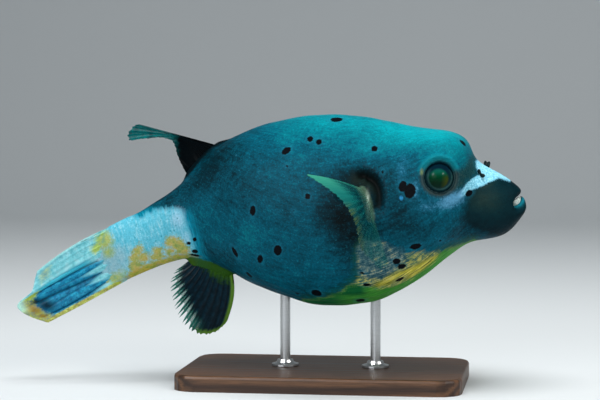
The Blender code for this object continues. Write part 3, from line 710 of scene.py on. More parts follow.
def make_tube(name, grid, values, **vectors):
    """A closed piece through rings of points in fish millimetres, its faces turned outwards."""
    piece = make_piece(name, to_world(with_ends(grid)), tube_faces(*grid.shape[:2]),
                       values={label: with_ends(data) for label, data in values.items()},
                       vectors={label: with_ends(data) for label, data in vectors.items()})
    bm = bmesh.new()
    bm.from_mesh(piece.data)
    bmesh.ops.recalc_face_normals(bm, faces=bm.faces)
    bm.to_mesh(piece.data)
    bm.free()
    return piece


# %% [markdown]
# The skin is one closed tube from the floor of the mouth to the root of the tail fin. Besides its
# fields it carries two sets of places: where each point lies on the bare fish, and how far along and
# round the skin it lies, which is what streaks have to follow.

# %% The skin's mesh
girth = np.cumsum(np.linalg.norm(np.diff(bare, axis=1, prepend=bare[:, -1:]), axis=2), axis=1)
girth -= girth[:, POINTS_ROUND // 2:POINTS_ROUND // 2 + 1]
lie = np.stack([np.broadcast_to(runs[:, None], girth.shape), girth, girth * 0], axis=2)
skin = make_tube("skin", skin_points, fields, fish_mm=bare, lie_mm=lie)
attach(skin, "root")
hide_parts("head", "trunk", "tail_peduncle", "eye_lid_left", "eye_lid_right")
print("skin faces:", len(skin.data.polygons))


# %% [markdown]
# ## Colours and nodes
#
# Colours are written as hex, as a painter's chart gives them, and turned to the linear values that
# Blender mixes. One small function adds a node, sets it and links it. The Paint class keeps one
# material's tree and lays colour on it layer by layer.

# %% Colour and node helpers
def colour(hex_value):
    """sRGB hex to linear RGBA."""
    parts = [int(hex_value[i:i + 2], 16) / 255 for i in (1, 3, 5)]
    return (*[c / 12.92 if c <= 0.04045 else ((c + 0.055) / 1.055) ** 2.4 for c in parts], 1.0)


class Paint:
    """A material whose colour is laid on in layers."""

    def __init__(self, name, **finish):
        self.material = bpy.data.materials.new(name)
        self.material.use_nodes = True
        self.tree = self.material.node_tree
        self.shader = self.tree.nodes["Principled BSDF"]
        for label, value in finish.items():
            self.shader.inputs[label.replace("_", " ")].default_value = value
        self.top = None

    def add(self, kind, sockets, out=0, stops=(), **settings):
        """Adds a shader node and returns one of its outputs.

        A socket takes a number, a hex colour, the name of a field or another output. Stops are the
        places and colours of a ramp, in order.
        """
        made = self.tree.nodes.new("ShaderNode" + kind)
        for name, value in settings.items():
            setattr(made, name, value)
        for name, value in sockets.items():
            if isinstance(value, str) and not value.startswith("#"):
                value = self.add("Attribute", {}, "Fac", attribute_name=value)
            if isinstance(value, bpy.types.NodeSocket):
                self.tree.links.new(value, made.inputs[name])
            else:
                made.inputs[name].default_value = colour(value) if isinstance(value, str) else value
        if stops:
            elements = made.color_ramp.elements
            for element, (place, shade) in zip(elements, (stops[0], stops[-1])):
                element.position, element.color = place, colour(shade)
            for place, shade in stops[1:-1]:
                elements.new(place).color = colour(shade)
        return made.outputs[out]

    def mottle(self, per_mm, where="fish_mm", stretch=None, detail=3.0, roughness=0.55):
        """A noise of so many grains per millimetre, on a mesh's field of places or on an output."""
        if isinstance(where, str):
            where = self.add("Attribute", {}, "Vector", attribute_name=where)
        if stretch:
            where = self.add("VectorMath", {0: where, 1: stretch}, operation="MULTIPLY")
        return self.add("TexNoise", {"Vector": where, "Scale": per_mm,
                                     "Detail": detail, "Roughness": roughness})

    def shifted(self, value, *roughen):
        """A field or a value, moved up and down by (noise, amount) pairs."""
        for noise, amount in roughen:
            centred = self.add("Math", {0: noise, 1: 0.5}, operation="SUBTRACT")
            value = self.add("Math", {0: centred, 1: amount, 2: value}, operation="MULTIPLY_ADD")
        return value

    def within(self, value, full, none, most=1.0, least=0.0):
        """Most at or beyond full, least at or beyond none, and an even slope between."""
        return self.add("MapRange", {"Value": value, "From Min": none, "From Max": full,
                                     "To Min": least, "To Max": most})

    def patch(self, label, full, none, *roughen):
        """Share of a field between two values, with its edge broken up by noises."""
        return self.within(self.shifted(label, *roughen), full, none)

    def product(self, *shares):
        """Shares multiplied, from 0 to 1."""
        product = shares[0]
        for share in shares[1:]:
            product = self.add("Math", {0: product, 1: share}, operation="MULTIPLY", use_clamp=True)
        return product

    def rest(self, *shares):
        """What the product of the shares leaves of 1."""
        return self.add("Math", {0: 1.0, 1: self.product(*shares)}, operation="SUBTRACT", use_clamp=True)

    def layer(self, shade, *shares):
        """Lays a colour, or an output, over what is there, as far as the shares' product says."""
        self.top = self.add("Mix", {0: self.product(*shares), 6: self.top, 7: shade}, 2, data_type="RGBA")

    def cover(self, shade, strength, *patch):
        """Lays a colour over one patch, at most at the given strength."""
        self.layer(shade, self.patch(*patch), strength)

    def grain(self, noise, dark, light):
        """Multiplies the colour by a noise between two factors."""
        factor = self.within(noise, 0.7, 0.3, light, dark)
        self.top = self.add("VectorMath", {0: self.top, 1: factor}, operation="MULTIPLY")

    def done(self, relief=None, **outputs):
        """Links the colour, the relief (height, strength, depth in mm) and any other outputs."""
        if relief:
            height, strength, depth = relief
            outputs["Normal"] = self.add("Bump", {"Height": height, "Strength": strength,
                                                  "Distance": depth * MM})
        for label, output in {"Base Color": self.top, **outputs}.items():
            self.tree.links.new(output, self.shader.inputs[label])
        return self.material


print("a mid grey in linear light:", round(colour("#808080")[0], 3))

# %% [markdown]
# ## Puffer skin
#
# The skin is leathery and set with tiny prickles that lie flat until the fish inflates. A matt
# lacquer with a fine bump gives that; the grain traps most of the gloss, so the specular level is
# low. Colour goes on in layers, from the ground colour to the spots, each through its own field.
# Edges are broken up by noise of about a millimetre.

# %% Skin: ground colour
# The speckles are about 1 mm across, the mottling 3 mm and the clouds 12 mm. Three more noises are
# drawn out along the fish or round it, and the prickles stand 1.4 mm apart.
skin_paint = Paint("prickly_puffer_skin", IOR=1.36, Specular_IOR_Level=0.08)
fine = skin_paint.mottle(1.05, roughness=0.7)
medium = skin_paint.mottle(0.36)
cloud = skin_paint.mottle(0.085)
along = skin_paint.mottle(0.55, "lie_mm", (0.22, 1.0, 1.0))
streak = skin_paint.mottle(1.15, "lie_mm", (0.09, 1.0, 1.0), detail=2.0)
around = skin_paint.mottle(0.85, "lie_mm", (1.0, 0.16, 1.0))
on_fish = skin_paint.add("Attribute", {}, "Vector", attribute_name="fish_mm")
prickle = skin_paint.add("TexVoronoi", {"Vector": on_fish, "Scale": 0.72, "Randomness": 0.85})
prickle_tip = skin_paint.within(prickle, 0.0, 0.36)
tone = skin_paint.shifted(
    "tone", (cloud, 0.36), (medium, 0.30), (fine, 0.34), (along, 0.30), (prickle_tip, 0.07))
skin_paint.top = skin_paint.add("ValToRGB", {"Fac": tone}, stops=[
    (0.0, "#000f13"), (0.22, "#002a35"), (0.48, "#005367"), (0.72, "#007985"), (1.0, "#009ca6")])
skin_paint.layer("#1c8ea2", skin_paint.within(fine, 0.74, 0.60), 0.22)
skin_paint.cover("#2a7395", 0.75, "under_eye", 0.85, 0.15, (medium, 0.7), (fine, 0.6))
skin_paint.cover("#5fa0c4", 0.88, "under_eye", 0.95, 0.42, (medium, 0.7), (fine, 0.7))
print("ground colour laid")

# %% [markdown]
# The belly is countershaded: gold behind the throat, leaf green lower down, and a lilac-grey wrinkled
# patch under the pectoral fin. The streaks run along the fish.

# %% Skin: belly
# A cover's numbers are its strength, the field's values where it is full and where it ends, and how
# far each noise moves that edge.
in_belly = skin_paint.patch("belly", -1.1, 1.2, (along, 4.5), (fine, 3.0))
belly_rim = skin_paint.patch("belly", 0.4, 4.6, (along, 4.5), (fine, 4.0))
skin_paint.layer("#0e4a38", belly_rim, "green_edge", 0.8)
wrinkles = skin_paint.shifted(medium, (streak, 0.9), (fine, 0.5))
belly_tint = skin_paint.add("ValToRGB", {"Fac": wrinkles}, stops=[
    (0.32, "#2a5558"), (0.44, "#5e7a5c"), (0.55, "#8c9250"), (0.66, "#b5ae66")])
skin_paint.layer(belly_tint, in_belly)
skin_paint.layer("#3a6a2a", skin_paint.patch("olive", 0.8, 0.2, (streak, 0.5)), in_belly, 0.9)
lilac_tint = skin_paint.add("ValToRGB", {"Fac": wrinkles}, stops=[
    (0.26, "#103a48"), (0.42, "#284f5b"), (0.56, "#45696f"), (0.68, "#76847a"), (0.80, "#b0a86a")])
skin_paint.cover(lilac_tint, 0.95, "lilac", 0.2, 2.8, (medium, 4.0), (fine, 3.0))
gold_tint = skin_paint.add("ValToRGB", {"Fac": streak}, stops=[
    (0.38, "#4d5a26"), (0.45, "#98983a"), (0.54, "#c0b53f"), (0.62, "#d8cf66")])
skin_paint.layer(gold_tint, skin_paint.patch("gold", -1.5, 0.6, (streak, 7.0), (fine, 2.0)), in_belly)
leaf_tint = skin_paint.add("ValToRGB", {"Fac": streak}, stops=[(0.35, "#2f7a2c"), (0.65, "#4c9a3c")])
leaf = skin_paint.product(skin_paint.patch("leaf", 0.0, 1.9, (streak, 4.0), (fine, 2.0)), in_belly)
skin_paint.layer(leaf_tint, leaf)
skin_paint.layer("#0d5830", leaf, skin_paint.patch("deep_green", 1.0, 0.0, (streak, 0.6)))
print("belly laid")

# %% [markdown]
# The tail stalk is pale. A bright blue fringe of upright streaks leads from the dark trunk to it, and
# ochre blotches lie along its lower half. Its underside is olive brown.

# %% Skin: tail stalk
fringe = skin_paint.patch("stalk", 0.5, 6.5, (around, 12.0), (fine, 4.0))
skin_paint.layer("#0090ac", fringe, "under_fringe", 0.75)
stalk_mottle = skin_paint.shifted(around, (medium, 0.5), (fine, 0.4))
stalk_tint = skin_paint.add("ValToRGB", {"Fac": stalk_mottle}, stops=[
    (0.25, "#45adc5"), (0.5, "#5eb9cf"), (0.75, "#90ccda")])
on_stalk = skin_paint.patch("stalk", -1.6, 0.9, (around, 6.0), (fine, 2.5))
skin_paint.layer(stalk_tint, on_stalk)
skin_paint.cover("#a5cbe0", 0.6, "pale_patch", 0.9, 0.2, (around, 0.8), (fine, 0.4))
dots = skin_paint.add("TexVoronoi", {"Vector": on_fish, "Scale": 0.33, "Randomness": 1.0})
skin_paint.layer("#2a8ea2", skin_paint.within(dots, 0.10, 0.22), on_stalk, 0.75)
underside = skin_paint.patch("under_stalk", 0.9, 0.2, (fine, 0.5), (medium, 0.5))
skin_paint.layer("#6f7d3a", underside, on_stalk, 0.75)
skin_paint.cover("#a0bec4", 0.65, "rear", 1.1, 0.25, (fine, 0.7), (medium, 0.9))
ochre_tint = skin_paint.add("ValToRGB", {"Fac": medium}, stops=[
    (0.35, "#8f9a2c"), (0.5, "#b3a83a"), (0.65, "#c2a33a")])
skin_paint.cover(ochre_tint, 0.88, "ochre_mm", -0.2, 1.9, (fine, 5.0), (medium, 4.0))
lemon_tint = skin_paint.add("ValToRGB", {"Fac": medium}, stops=[
    (0.35, "#8fb07a"), (0.5, "#aebc50"), (0.65, "#c2bf4e")])
skin_paint.cover(lemon_tint, 0.85, "lemon_mm", -1.4, 1.8, (fine, 5.0), (medium, 6.0))
print("tail stalk laid")

# %% [markdown]
# On the head come the brown-green muzzle, the darker patch before the eye, the dark lips with a teal
# painted highlight along the lower lip's inner edge, and the pale band over the snout.

# %% Skin: head
brown = skin_paint.shifted(skin_paint.patch("muzzle_brown", 1.0, 0.0), (medium, 0.5))
muzzle_tint = skin_paint.add("ValToRGB", {"Fac": brown}, stops=[
    (0.0, "#00181f"), (0.45, "#03252b"), (0.8, "#102c2d"), (1.0, "#1b302d")])
skin_paint.cover(muzzle_tint, 0.97, "muzzle", -5.0, 1.0, (medium, 2.5), (fine, 1.5))
mask_tint = skin_paint.add("ValToRGB", {"Fac": fine}, stops=[
    (0.35, "#0a353a"), (0.52, "#143f43"), (0.62, "#28463e"), (0.7, "#3d4037")])
in_mask = skin_paint.patch("mask", -1.8, 1.8, (medium, 3.0), (fine, 2.0))
skin_paint.layer(mask_tint, in_mask, 0.9)
skin_paint.layer("#00222a", "lips", 0.85)
# painted highlight along the lower lip's inner edge, where light from above falls
skin_paint.layer("#1590a4", "lower_lip_highlight", 0.6)
band_tint = skin_paint.add("ValToRGB", {"Fac": fine}, stops=[
    (0.3, "#5fb2cf"), (0.5, "#86d2e8"), (0.7, "#b5e4f2")])
on_band = skin_paint.patch("band", -0.5, 0.35, (fine, 2.4), (medium, 1.4))
skin_paint.layer("#68a8cc", on_band, 0.9)
skin_paint.layer(band_tint, on_band, skin_paint.patch("band_fade", 0.8, 0.1, (fine, 0.5)))
print("head laid")

# %% [markdown]
# The lids are darker and browner than the skin, with thin pale folds below and behind the eye, and
# a painted shadow darkens the upper lid along its rim and fades outwards into the teal skin.

# %% Skin: lids
eye_mm = skin_paint.shifted("eye_mm", (fine, 0.9))
over_lid = skin_paint.within(eye_mm, 12.0, 6.0)
low_lid = skin_paint.add("ValToRGB", {"Fac": over_lid}, stops=[
    (0.0, "#0a242a"), (0.16, "#0f2b30"), (0.25, "#2c4546"), (0.35, "#12292d"), (0.46, "#3a4c4b"),
    (0.57, "#26393c"), (0.70, "#2d4549"), (1.0, "#1b4a52")])
skin_paint.layer(low_lid, skin_paint.within(eye_mm, 8.7, 10.9), 0.95)
# painted shadow along the upper lid's rim, fading outwards to the teal of the skin
upper_lid_shadow_tint = skin_paint.add("ValToRGB", {"Fac": over_lid}, stops=[
    (0.0, "#01161f"), (0.16, "#011f2a"), (0.31, "#034a52"), (0.47, "#04707c"), (0.75, "#048492"),
    (1.0, "#0592a2")])
brow_shadow_share = skin_paint.product(skin_paint.within(eye_mm, 9.8, 11.8), skin_paint.within(in_mask, 0.1, 0.9))
skin_paint.layer(upper_lid_shadow_tint, brow_shadow_share, skin_paint.patch("eye_up", 0.55, 0.0))
# painted highlight behind the eye
skin_paint.cover("#93a05c", 0.7, "eye_glint", 1.0, 0.2, (fine, 0.4))
print("lids laid")

# %% [markdown]
# The hollow over the pectoral fin, the gill opening and the inside of the mouth are painted dark as
# shade, the pectoral fin's fleshy base gets a painted highlight, and the fins' fleshy lobes get their
# own colours. Spots come last, each with a narrow pale halo. The bump of the prickles and the streaks
# is shallow, about a third of a millimetre, and a little noise in the roughness keeps the gloss from
# looking like plastic.

# %% Skin: flesh and spots
# painted shade in the hollow over the pectoral fin
skin_paint.cover("#131f1c", 0.92, "hollow", -3.0, 2.0, (medium, 2.5), (fine, 1.5))
skin_paint.cover("#47604e", 0.75, "pad", 0.8, 0.35, (fine, 0.5))
# painted highlight on the pectoral fin's fleshy base
skin_paint.layer("#dfeee0", "pad_glint")
# painted shade in the gill slit
skin_paint.cover("#0a100f", 0.85, "gill", 0.9, 0.2, (fine, 0.3))
skin_paint.cover("#2b5210", 0.95, "anal_lobe", 0.7, 0.35, (medium, 0.6), (fine, 0.4))
skin_paint.cover("#010a0e", 0.95, "dorsal_lobe", 0.75, 0.3, (medium, 0.5))
spot = skin_paint.shifted("spot_mm", (fine, 0.9))
skin_paint.layer("#2583a0", skin_paint.within(spot, 0.3, 1.6), 0.16)
skin_paint.cover("#2f95cf", 0.85, "blue_dot", 0.7, 0.3, (fine, 0.3))
skin_paint.layer("#03070d", skin_paint.within(spot, -0.1, 0.22))
# painted shade inside the mouth
skin_paint.layer("#02090c", "mouth_inside_shade")
skin_paint.grain(fine, 0.86, 1.14)
relief = skin_paint.add("Math", {0: fine, 1: 0.8, 2: prickle_tip}, operation="MULTIPLY_ADD")
relief = skin_paint.add("Math", {0: along, 1: 1.2, 2: relief}, operation="MULTIPLY_ADD")
skin_gloss = skin_paint.within(fine, 0.7, 0.3, 0.68, 0.5)
skin.data.materials.append(skin_paint.done((relief, 0.45, 0.35), Roughness=skin_gloss))
print("skin material nodes:", len(skin_paint.tree.nodes))


# %% [markdown]
# ## Eyes
#
# A puffer's eye is a glossy ball, dark green in the middle, with a thin grey-green ring towards the
# lid. The upper lid's shadow is painted across the top of the ball, and an olive painted reflection
# lies low on the front of the pupil. Separate shells for cornea and iris would need glass; one ball
# whose rings are painted by the distance from its axis looks the same from outside. The cornea is wet,
# so the ball is almost mirror smooth, with the low reflection that water leaves it. The front bulges a
# little.

# %% Eyeballs
PUPIL = 4.85
PUPIL_PLACE = (-0.95, -1.05)     # the fish looks a little back and down
BULGE = 0.045                    # how much the cornea stands over the ball, as a share of its radius
UNSEEN = 9.0                     # added to a ring's distance on the back half of the ball
EYE_STEPS, EYE_POINTS = 56, 72


def make_eye(label, side):
    centre, rows = gaze_frame(side)
    tilt = np.linspace(0, np.pi, EYE_STEPS)[1:-1]
    turn = 2 * np.pi * np.arange(EYE_POINTS) / EYE_POINTS
    bulge = 1 + BULGE * hill(tilt, 0.6)
    local = EYE_RADIUS * np.stack([
        np.outer(np.sin(tilt) * bulge, np.cos(turn)),
        np.outer(np.sin(tilt) * bulge, np.sin(turn)),
        np.outer(np.cos(tilt) * bulge, np.ones(EYE_POINTS))], axis=2)
    behind = np.where(local[..., 2] < 0, UNSEEN, 0.0)
    forward, upward = local[..., 0] - PUPIL_PLACE[0], local[..., 1] - PUPIL_PLACE[1]
    eye = make_tube(f"eyeball_{label}", centre + local @ rows, {
        "ring_mm": np.hypot(local[..., 0], local[..., 1]) + behind,
        "pupil_mm": np.hypot(forward, upward) + behind,
        "forward": forward / PUPIL, "upward": upward / PUPIL}, local_mm=local)
    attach(eye, "root")
    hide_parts(f"eye_{label}")
    return eye


eye_paint = Paint("glossy_eye", IOR=1.33, Roughness=0.05, Specular_IOR_Level=0.1)
eye_mottle = eye_paint.mottle(0.8, "local_mm")
ring = eye_paint.shifted("ring_mm", (eye_mottle, 0.5))
eye_paint.top = eye_paint.add("ValToRGB", {"Fac": eye_paint.within(ring, 8.0, 0.0)}, stops=[
    (0.0, "#042428"), (0.60, "#05272d"), (0.69, "#0e3437"), (0.755, "#2b504e"), (0.80, "#163739"),
    (0.85, "#0a252b"), (1.0, "#061b22")])
# painted shadow of the upper lid across the top of the ball
eye_paint.cover("#011b29", 0.95, "upward", 1.05, 0.35)
in_pupil = eye_paint.patch("pupil_mm", PUPIL - 0.7, PUPIL + 0.4, (eye_mottle, 0.5))
pupil_tint = eye_paint.add("ValToRGB", {"Fac": eye_paint.within("upward", 1.0, -1.0)}, stops=[
    (0.0, "#03201a"), (0.3, "#012412"), (0.6, "#013c22"), (0.82, "#085040"), (1.0, "#0a4f48")])
eye_paint.layer(pupil_tint, in_pupil)
# an olive painted reflection of the cornea, low on the front of the pupil
in_front, low_down = eye_paint.patch("forward", 0.85, 0.2), eye_paint.patch("upward", 0.05, 0.5)
eye_paint.layer("#3d4710", in_front, low_down, in_pupil, 0.8)
eye_material = eye_paint.done()
for label, side in (("left", 1), ("right", -1)):
    make_eye(label, side).data.materials.append(eye_material)
print("eyes made, pupil", 2 * PUPIL, "mm across")

# %% [markdown]
# ## Beak
#
# Puffers have four fused teeth that make a beak, two plates above and two below, with a seam in the
# middle. Each jaw's plate is a curved wall, thickest at its root and sharp at the bite. It is laid
# out in the plane of the bite, which slopes down and back, and a narrow gape stays open. Tooth enamel
# is hard and smooth, which gives a clear gloss on a cold white, stained brown towards the root.

# %% Beak plates
BITE_CENTRE = np.array([95.3, 0.0, 53.7])
BITE_TILT = math.radians(38)
BITE_REACH = (4.1, 5.3)      # forward and sideways
BITE_ARC = 112               # degrees to each side of the front
PLATE_HEIGHT = 4.0
PLATE_WALLS = ((1.0, 0.0), (0.76, 0.25))   # outer and inner: size, and how far its edge is set back
HALF_GAPE = 0.4


def make_beak(label, up):
    turns = np.radians(np.linspace(-BITE_ARC, BITE_ARC, 95))
    rises = np.linspace(0, 1, 14)
    forward = np.array([math.cos(BITE_TILT), 0, math.sin(BITE_TILT)])
    upward = np.array([-math.sin(BITE_TILT), 0, math.cos(BITE_TILT)])
    sideways = np.array([0, 1.0, 0])
    seam = 1 - 0.05 * hill(turns, 0.05) - 0.006 * np.cos(turns * 60)
    walls = []
    for scale, lift in PLATE_WALLS:
        swell = scale * (0.93 + 0.10 * np.sin(np.pi * np.minimum(rises + 0.25, 1.0)) - 0.20 * rises ** 2)
        height = HALF_GAPE + lift * (1 - rises) + PLATE_HEIGHT * rises
        walls.append(BITE_CENTRE + np.outer(np.cos(turns) * seam, swell * BITE_REACH[0])[..., None] * forward
                     + np.outer(np.sin(turns) * seam, swell * BITE_REACH[1])[..., None] * sideways
                     + (height * up)[None, :, None] * upward)
    rings = np.concatenate([walls[0], walls[1][:, ::-1]], axis=1)
    rise_field = np.broadcast_to(np.concatenate([rises, rises[::-1]]), rings.shape[:2])
    beak = make_tube(f"beak_plate_{label}", rings, {"rise": rise_field}, fish_mm=rings)
    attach(beak, "root")
    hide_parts(f"beak_{label}")
    return beak


enamel = Paint("tooth_enamel", IOR=1.62, Roughness=0.28, Specular_IOR_Level=0.4)
stain = enamel.mottle(0.9)
enamel.top = enamel.add("ValToRGB", {"Fac": stain}, stops=[
    (0.3, "#a9bdb5"), (0.55, "#e4f3ed"), (0.7, "#f4fbf9")])
enamel.cover("#6b5a44", 0.6, "rise", 0.95, 0.5, (stain, 0.6))
enamel_material = enamel.done()
for label, up in (("upper", 1), ("lower", -1)):
    make_beak(label, up).data.materials.append(enamel_material)
print("beak plates made, gape", 2 * HALF_GAPE, "mm")

# %% [markdown]
# ## Nasal flaps
#
# This family smells with a forked flap on each side of the snout. Two tapered lobes on one foot are
# joined by a voxel remesh and smoothed, which is how soft flesh parts blend in clay. Their flesh is
# dark and wet, so it shows as a soft sheen on near black.

# %% Forked flaps
FLAPS = {  # foot in fish millimetres, direction, half length of a lobe, lean of each lobe
    "left": ((81.3, 12.0, 69.3), (0.15, 0.2, 1.0), 3.0, math.radians(13)),
    "right": ((79.4, -14.4, 67.0), (0.45, -0.75, 0.6), 2.5, math.radians(33))}
LOBE_HALVES = (1.15, 0.85)       # half width and half thickness of a lobe, in mm
FOOT_HALVES = (1.5, 1.1, 1.6)
FOOT_DEPTH = 0.8                 # how deep the foot sits in the skin
VOXEL = 0.18


def add_ball(bm, move):
    ball = bmesh.ops.create_uvsphere(bm, u_segments=24, v_segments=16, radius=MM)
    bmesh.ops.transform(bm, matrix=move, verts=ball["verts"])


def make_flap(label):
    place, direction, half_length, spread = FLAPS[label]
    bm = bmesh.new()
    shape = Matrix.Diagonal((*LOBE_HALVES, half_length, 1.0))
    lift = Matrix.Translation((0, 0, half_length * 0.62 * MM))
    for lean in (-1, 1):
        add_ball(bm, Matrix.Rotation(lean * spread, 4, "Y") @ lift @ shape)
    add_ball(bm, Matrix.Diagonal((*FOOT_HALVES, 1.0)))
    mesh = bpy.data.meshes.new(f"flap_{label}")
    bm.to_mesh(mesh)
    bm.free()
    flap = bpy.data.objects.new(f"flap_{label}", mesh)
    bpy.context.scene.collection.objects.link(flap)
    outward = Vector(direction).normalized()
    across = Vector((0.6, 0.0, -0.8))
    across = (across - across.dot(outward) * outward).normalized()
    turn = Matrix((across, outward.cross(across), outward)).transposed().to_4x4()
    foot_place = Vector(to_world(np.array(place))) - outward * FOOT_DEPTH * MM
    mesh.transform(Matrix.Translation(foot_place) @ turn)
    join = flap.modifiers.new("one_flesh", "REMESH")
    join.mode = "VOXEL"
    join.voxel_size = VOXEL * MM
    join.use_smooth_shade = True
    soften = flap.modifiers.new("soften", "SMOOTH")
    soften.iterations = 5
    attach(flap, "root")
    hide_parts(f"nasal_flap_{label}")
    return flap


flesh = Paint("dark_wet_flesh", IOR=1.4, Roughness=0.4, Specular_IOR_Level=0.2)
flesh_grain = flesh.mottle(0.7 / MM, flesh.add("TexCoord", {}, "Object"))
flesh.top = flesh.add("ValToRGB", {"Fac": flesh_grain}, stops=[(0.3, "#020f10"), (0.7, "#08282a")])
flesh_material = flesh.done()
for label in FLAPS:
    make_flap(label).data.materials.append(flesh_material)
print("nasal flaps made:", len(FLAPS))


# %% [markdown]
# ## Fins
#
# A fin is a thin membrane stretched over soft rays that fork towards the edge. Each fin here is one
# closed sheet: a root line and a margin, straight or bowed rays between them, and a thickness that
# swells along every ray. The membrane falls a little short of the ray tips, which gives the frayed
# edge. Cloth simulation can't do this, because the rays carry the shape.

# %% One function for every fin
FORK = 0.19          # how far a ray's branches part, in shares of the way from ray to ray
RAY_WIDTH = 0.17     # a branch's width at its root, in the same shares
RAY_SLIMMING = 0.05  # what that width loses towards the margin
RAY_TAPER = 0.55     # what a ray's height loses towards the margin
RAY_JOINTS = 0.10    # swelling of the small joints along a ray
EDGE_TAPER = 0.45    # what the whole sheet loses at its edge


def fin_sheet(name, root, margin, rays, bow, fold, fray=None, ray_thick=0.9, film_thick=0.35, foot=2.0,
              samples=9, rows=56, values=None):
    columns = rays * samples + 1
    share = np.linspace(0, 1, columns)
    rise = np.linspace(0, 1, rows)
    phase = (share * rays) % 1.0 - 0.5
    fork = FORK * smooth(0.35, 1.0, rise)
    width = RAY_WIDTH - RAY_SLIMMING * rise
    ridge = np.maximum(hill(phase[:, None] - fork, width), hill(phase[:, None] + fork, width))
    fray_share = fray(share) if fray else np.zeros(columns)
    reach = rise[None] * (1 - fray_share[:, None] * (1 - ridge[:, -1:]))
    low, high = root(share)[:, None], margin(share)[:, None]
    grid = low + (high - low) * reach[..., None] + bow(share)[:, None] * np.sin(np.pi * reach)[..., None]
    s, r = share[:, None] * np.ones_like(ridge), rise[None] * np.ones_like(ridge)

    def sheet_normal():
        facing = np.cross(np.gradient(grid, axis=0), np.gradient(grid, axis=1))
        return facing / np.maximum(np.linalg.norm(facing, axis=2, keepdims=True), 1e-9)

    grid = grid + sheet_normal() * fold(s, r)[..., None]
    joints = 1 + RAY_JOINTS * np.cos(r * rows * 1.5) * ridge
    thick = film_thick + (ray_thick - film_thick) * ridge * (1 - RAY_TAPER * r) * joints
    thick = thick * (1 + (foot - 1) * smooth(0.35, 0.0, r)) * (1 - EDGE_TAPER * smooth(0.85, 1.0, r))
    half = sheet_normal() * thick[..., None] / 2
    rings = np.concatenate([grid + half, (grid - half)[:, ::-1]], axis=1)
    numbers = {"ray": ridge, "span": s, "rise": r, **(values(s, r) if values else {})}
    both_sides = {label: np.concatenate([data, data[:, ::-1]], axis=1) for label, data in numbers.items()}
    piece = make_tube(name, rings, both_sides, fish_mm=rings)
    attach(piece, "root")
    return piece


def in_plane(points):
    return spline_by_length([(x, 0.0, z) for x, z in points])


# %% [markdown]
# The dorsal fin trails from the back, dark with a clearer tip. The anal fin hangs below, dark blue
# with a green leading edge and long free ray tips behind.

# %% Dorsal and anal fins
DORSAL_MARGIN = [(-96.5, -1.5, 92.0), (-100.3, -2.0, 89.5), (-101.6, -2.5, 84.0), (-97.0, -3.0, 83.8),
                 (-90.0, -2.5, 84.3), (-82.5, -2.0, 84.5), (-78.6, -1.5, 82.8), (-76.9, -1.0, 78.5),
                 (-74.8, -0.5, 72.9), (-72.0, 0.0, 66.5)]
ANAL_MARGIN = [(-51.1, 1.0, -10.3), (-56.8, 1.5, -15.5), (-62.5, 1.5, -17.0), (-69.7, 1.0, -15.3),
               (-75.9, 0.5, -8.3), (-79.5, 0.0, 1.9), (-80.5, 0.0, 9.6), (-77.0, 0.0, 17.5)]


def dorsal_bow(share):
    lift = (6.0 - smooth(0.3, 0.6, share)) * smooth(0.0, 0.24, share) * smooth(0.73, 0.62, share)
    return np.stack([share * 0, share * 0 + 1.2, lift], axis=1)


def anal_fields(s, r):
    leading = smooth(0.10, 0.04, s) * smooth(0.0, 0.1, r) + smooth(0.93, 0.98, r) * smooth(0.38, 0.28, s)
    return {"leading": np.clip(leading, 0, 1), "tips": smooth(0.80, 0.95, r) * smooth(0.25, 0.45, s)}


dorsal_fin = fin_sheet(
    "dorsal_blade", in_plane(DORSAL_ROOT), spline_by_length(DORSAL_MARGIN), rays=11, bow=dorsal_bow, foot=3.0,
    fray=lambda s: 0.015 + 0.03 * s, fold=lambda s, r: 0.7 * np.sin(s * 9.0 + 1.0) * r ** 1.5)
anal_fin = fin_sheet(
    "anal_blade", in_plane(ANAL_ROOT), spline_by_length(ANAL_MARGIN), rays=12,
    bow=lambda s: np.outer(s * 0 + 1, (2.6, 0.0, 0.0)), foot=4.5,
    fray=lambda s: 0.02 + 0.15 * smooth(0.25, 0.6, s),
    fold=lambda s, r: 0.6 * np.sin(s * 11.0) * r ** 1.5, values=anal_fields)
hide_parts("dorsal_fin")
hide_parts("anal_fin")
print("dorsal and anal fin faces:", len(dorsal_fin.data.polygons), len(anal_fin.data.polygons))


# %% [markdown]
# The tail fin is half closed, so it hangs in long pleats. A few grooves fold the sheet, the deepest
# near its middle, and the same grooves tell the material where to paint shade into them, the deeper the
# darker.

# %% Tail fin
CAUDAL_MARGIN = [(-148.1, 16.8), (-149.6, 11.5), (-151.0, 6.5), (-158.4, -1.1), (-152.2, -6.4),
                 (-142.9, -9.8)]
GROOVES = [  # share across the fin, width, start and end along it, depth in mm
    (0.335, 0.030, 0.20, 0.75, 0.5), (0.45, 0.035, 0.02, 0.80, 1.9), (0.56, 0.030, 0.15, 0.72, 0.7),
    (0.655, 0.034, 0.04, 0.88, 1.5), (0.755, 0.026, 0.25, 0.80, 0.7), (0.865, 0.030, 0.12, 0.90, 1.2),
    (0.22, 0.05, 0.30, 0.80, 0.4)]
FULL_SHADE_DEPTH = 1.2     # a groove of this depth or more is painted at full strength
BLOTCHES = {  # share across the fin and along it, half width, half length
    "leafy": [(0.12, 0.09, 0.12, 0.12), (0.22, 0.18, 0.09, 0.09), (0.33, 0.06, 0.10, 0.07),
              (0.47, 0.87, 0.10, 0.08), (0.92, 0.08, 0.08, 0.09)],
    "rust": [(0.70, 0.91, 0.10, 0.05), (0.84, 0.93, 0.07, 0.04), (0.955, 0.05, 0.05, 0.05)],
    "navy": [(0.72, 0.80, 0.13, 0.09), (0.60, 0.84, 0.07, 0.06)]}


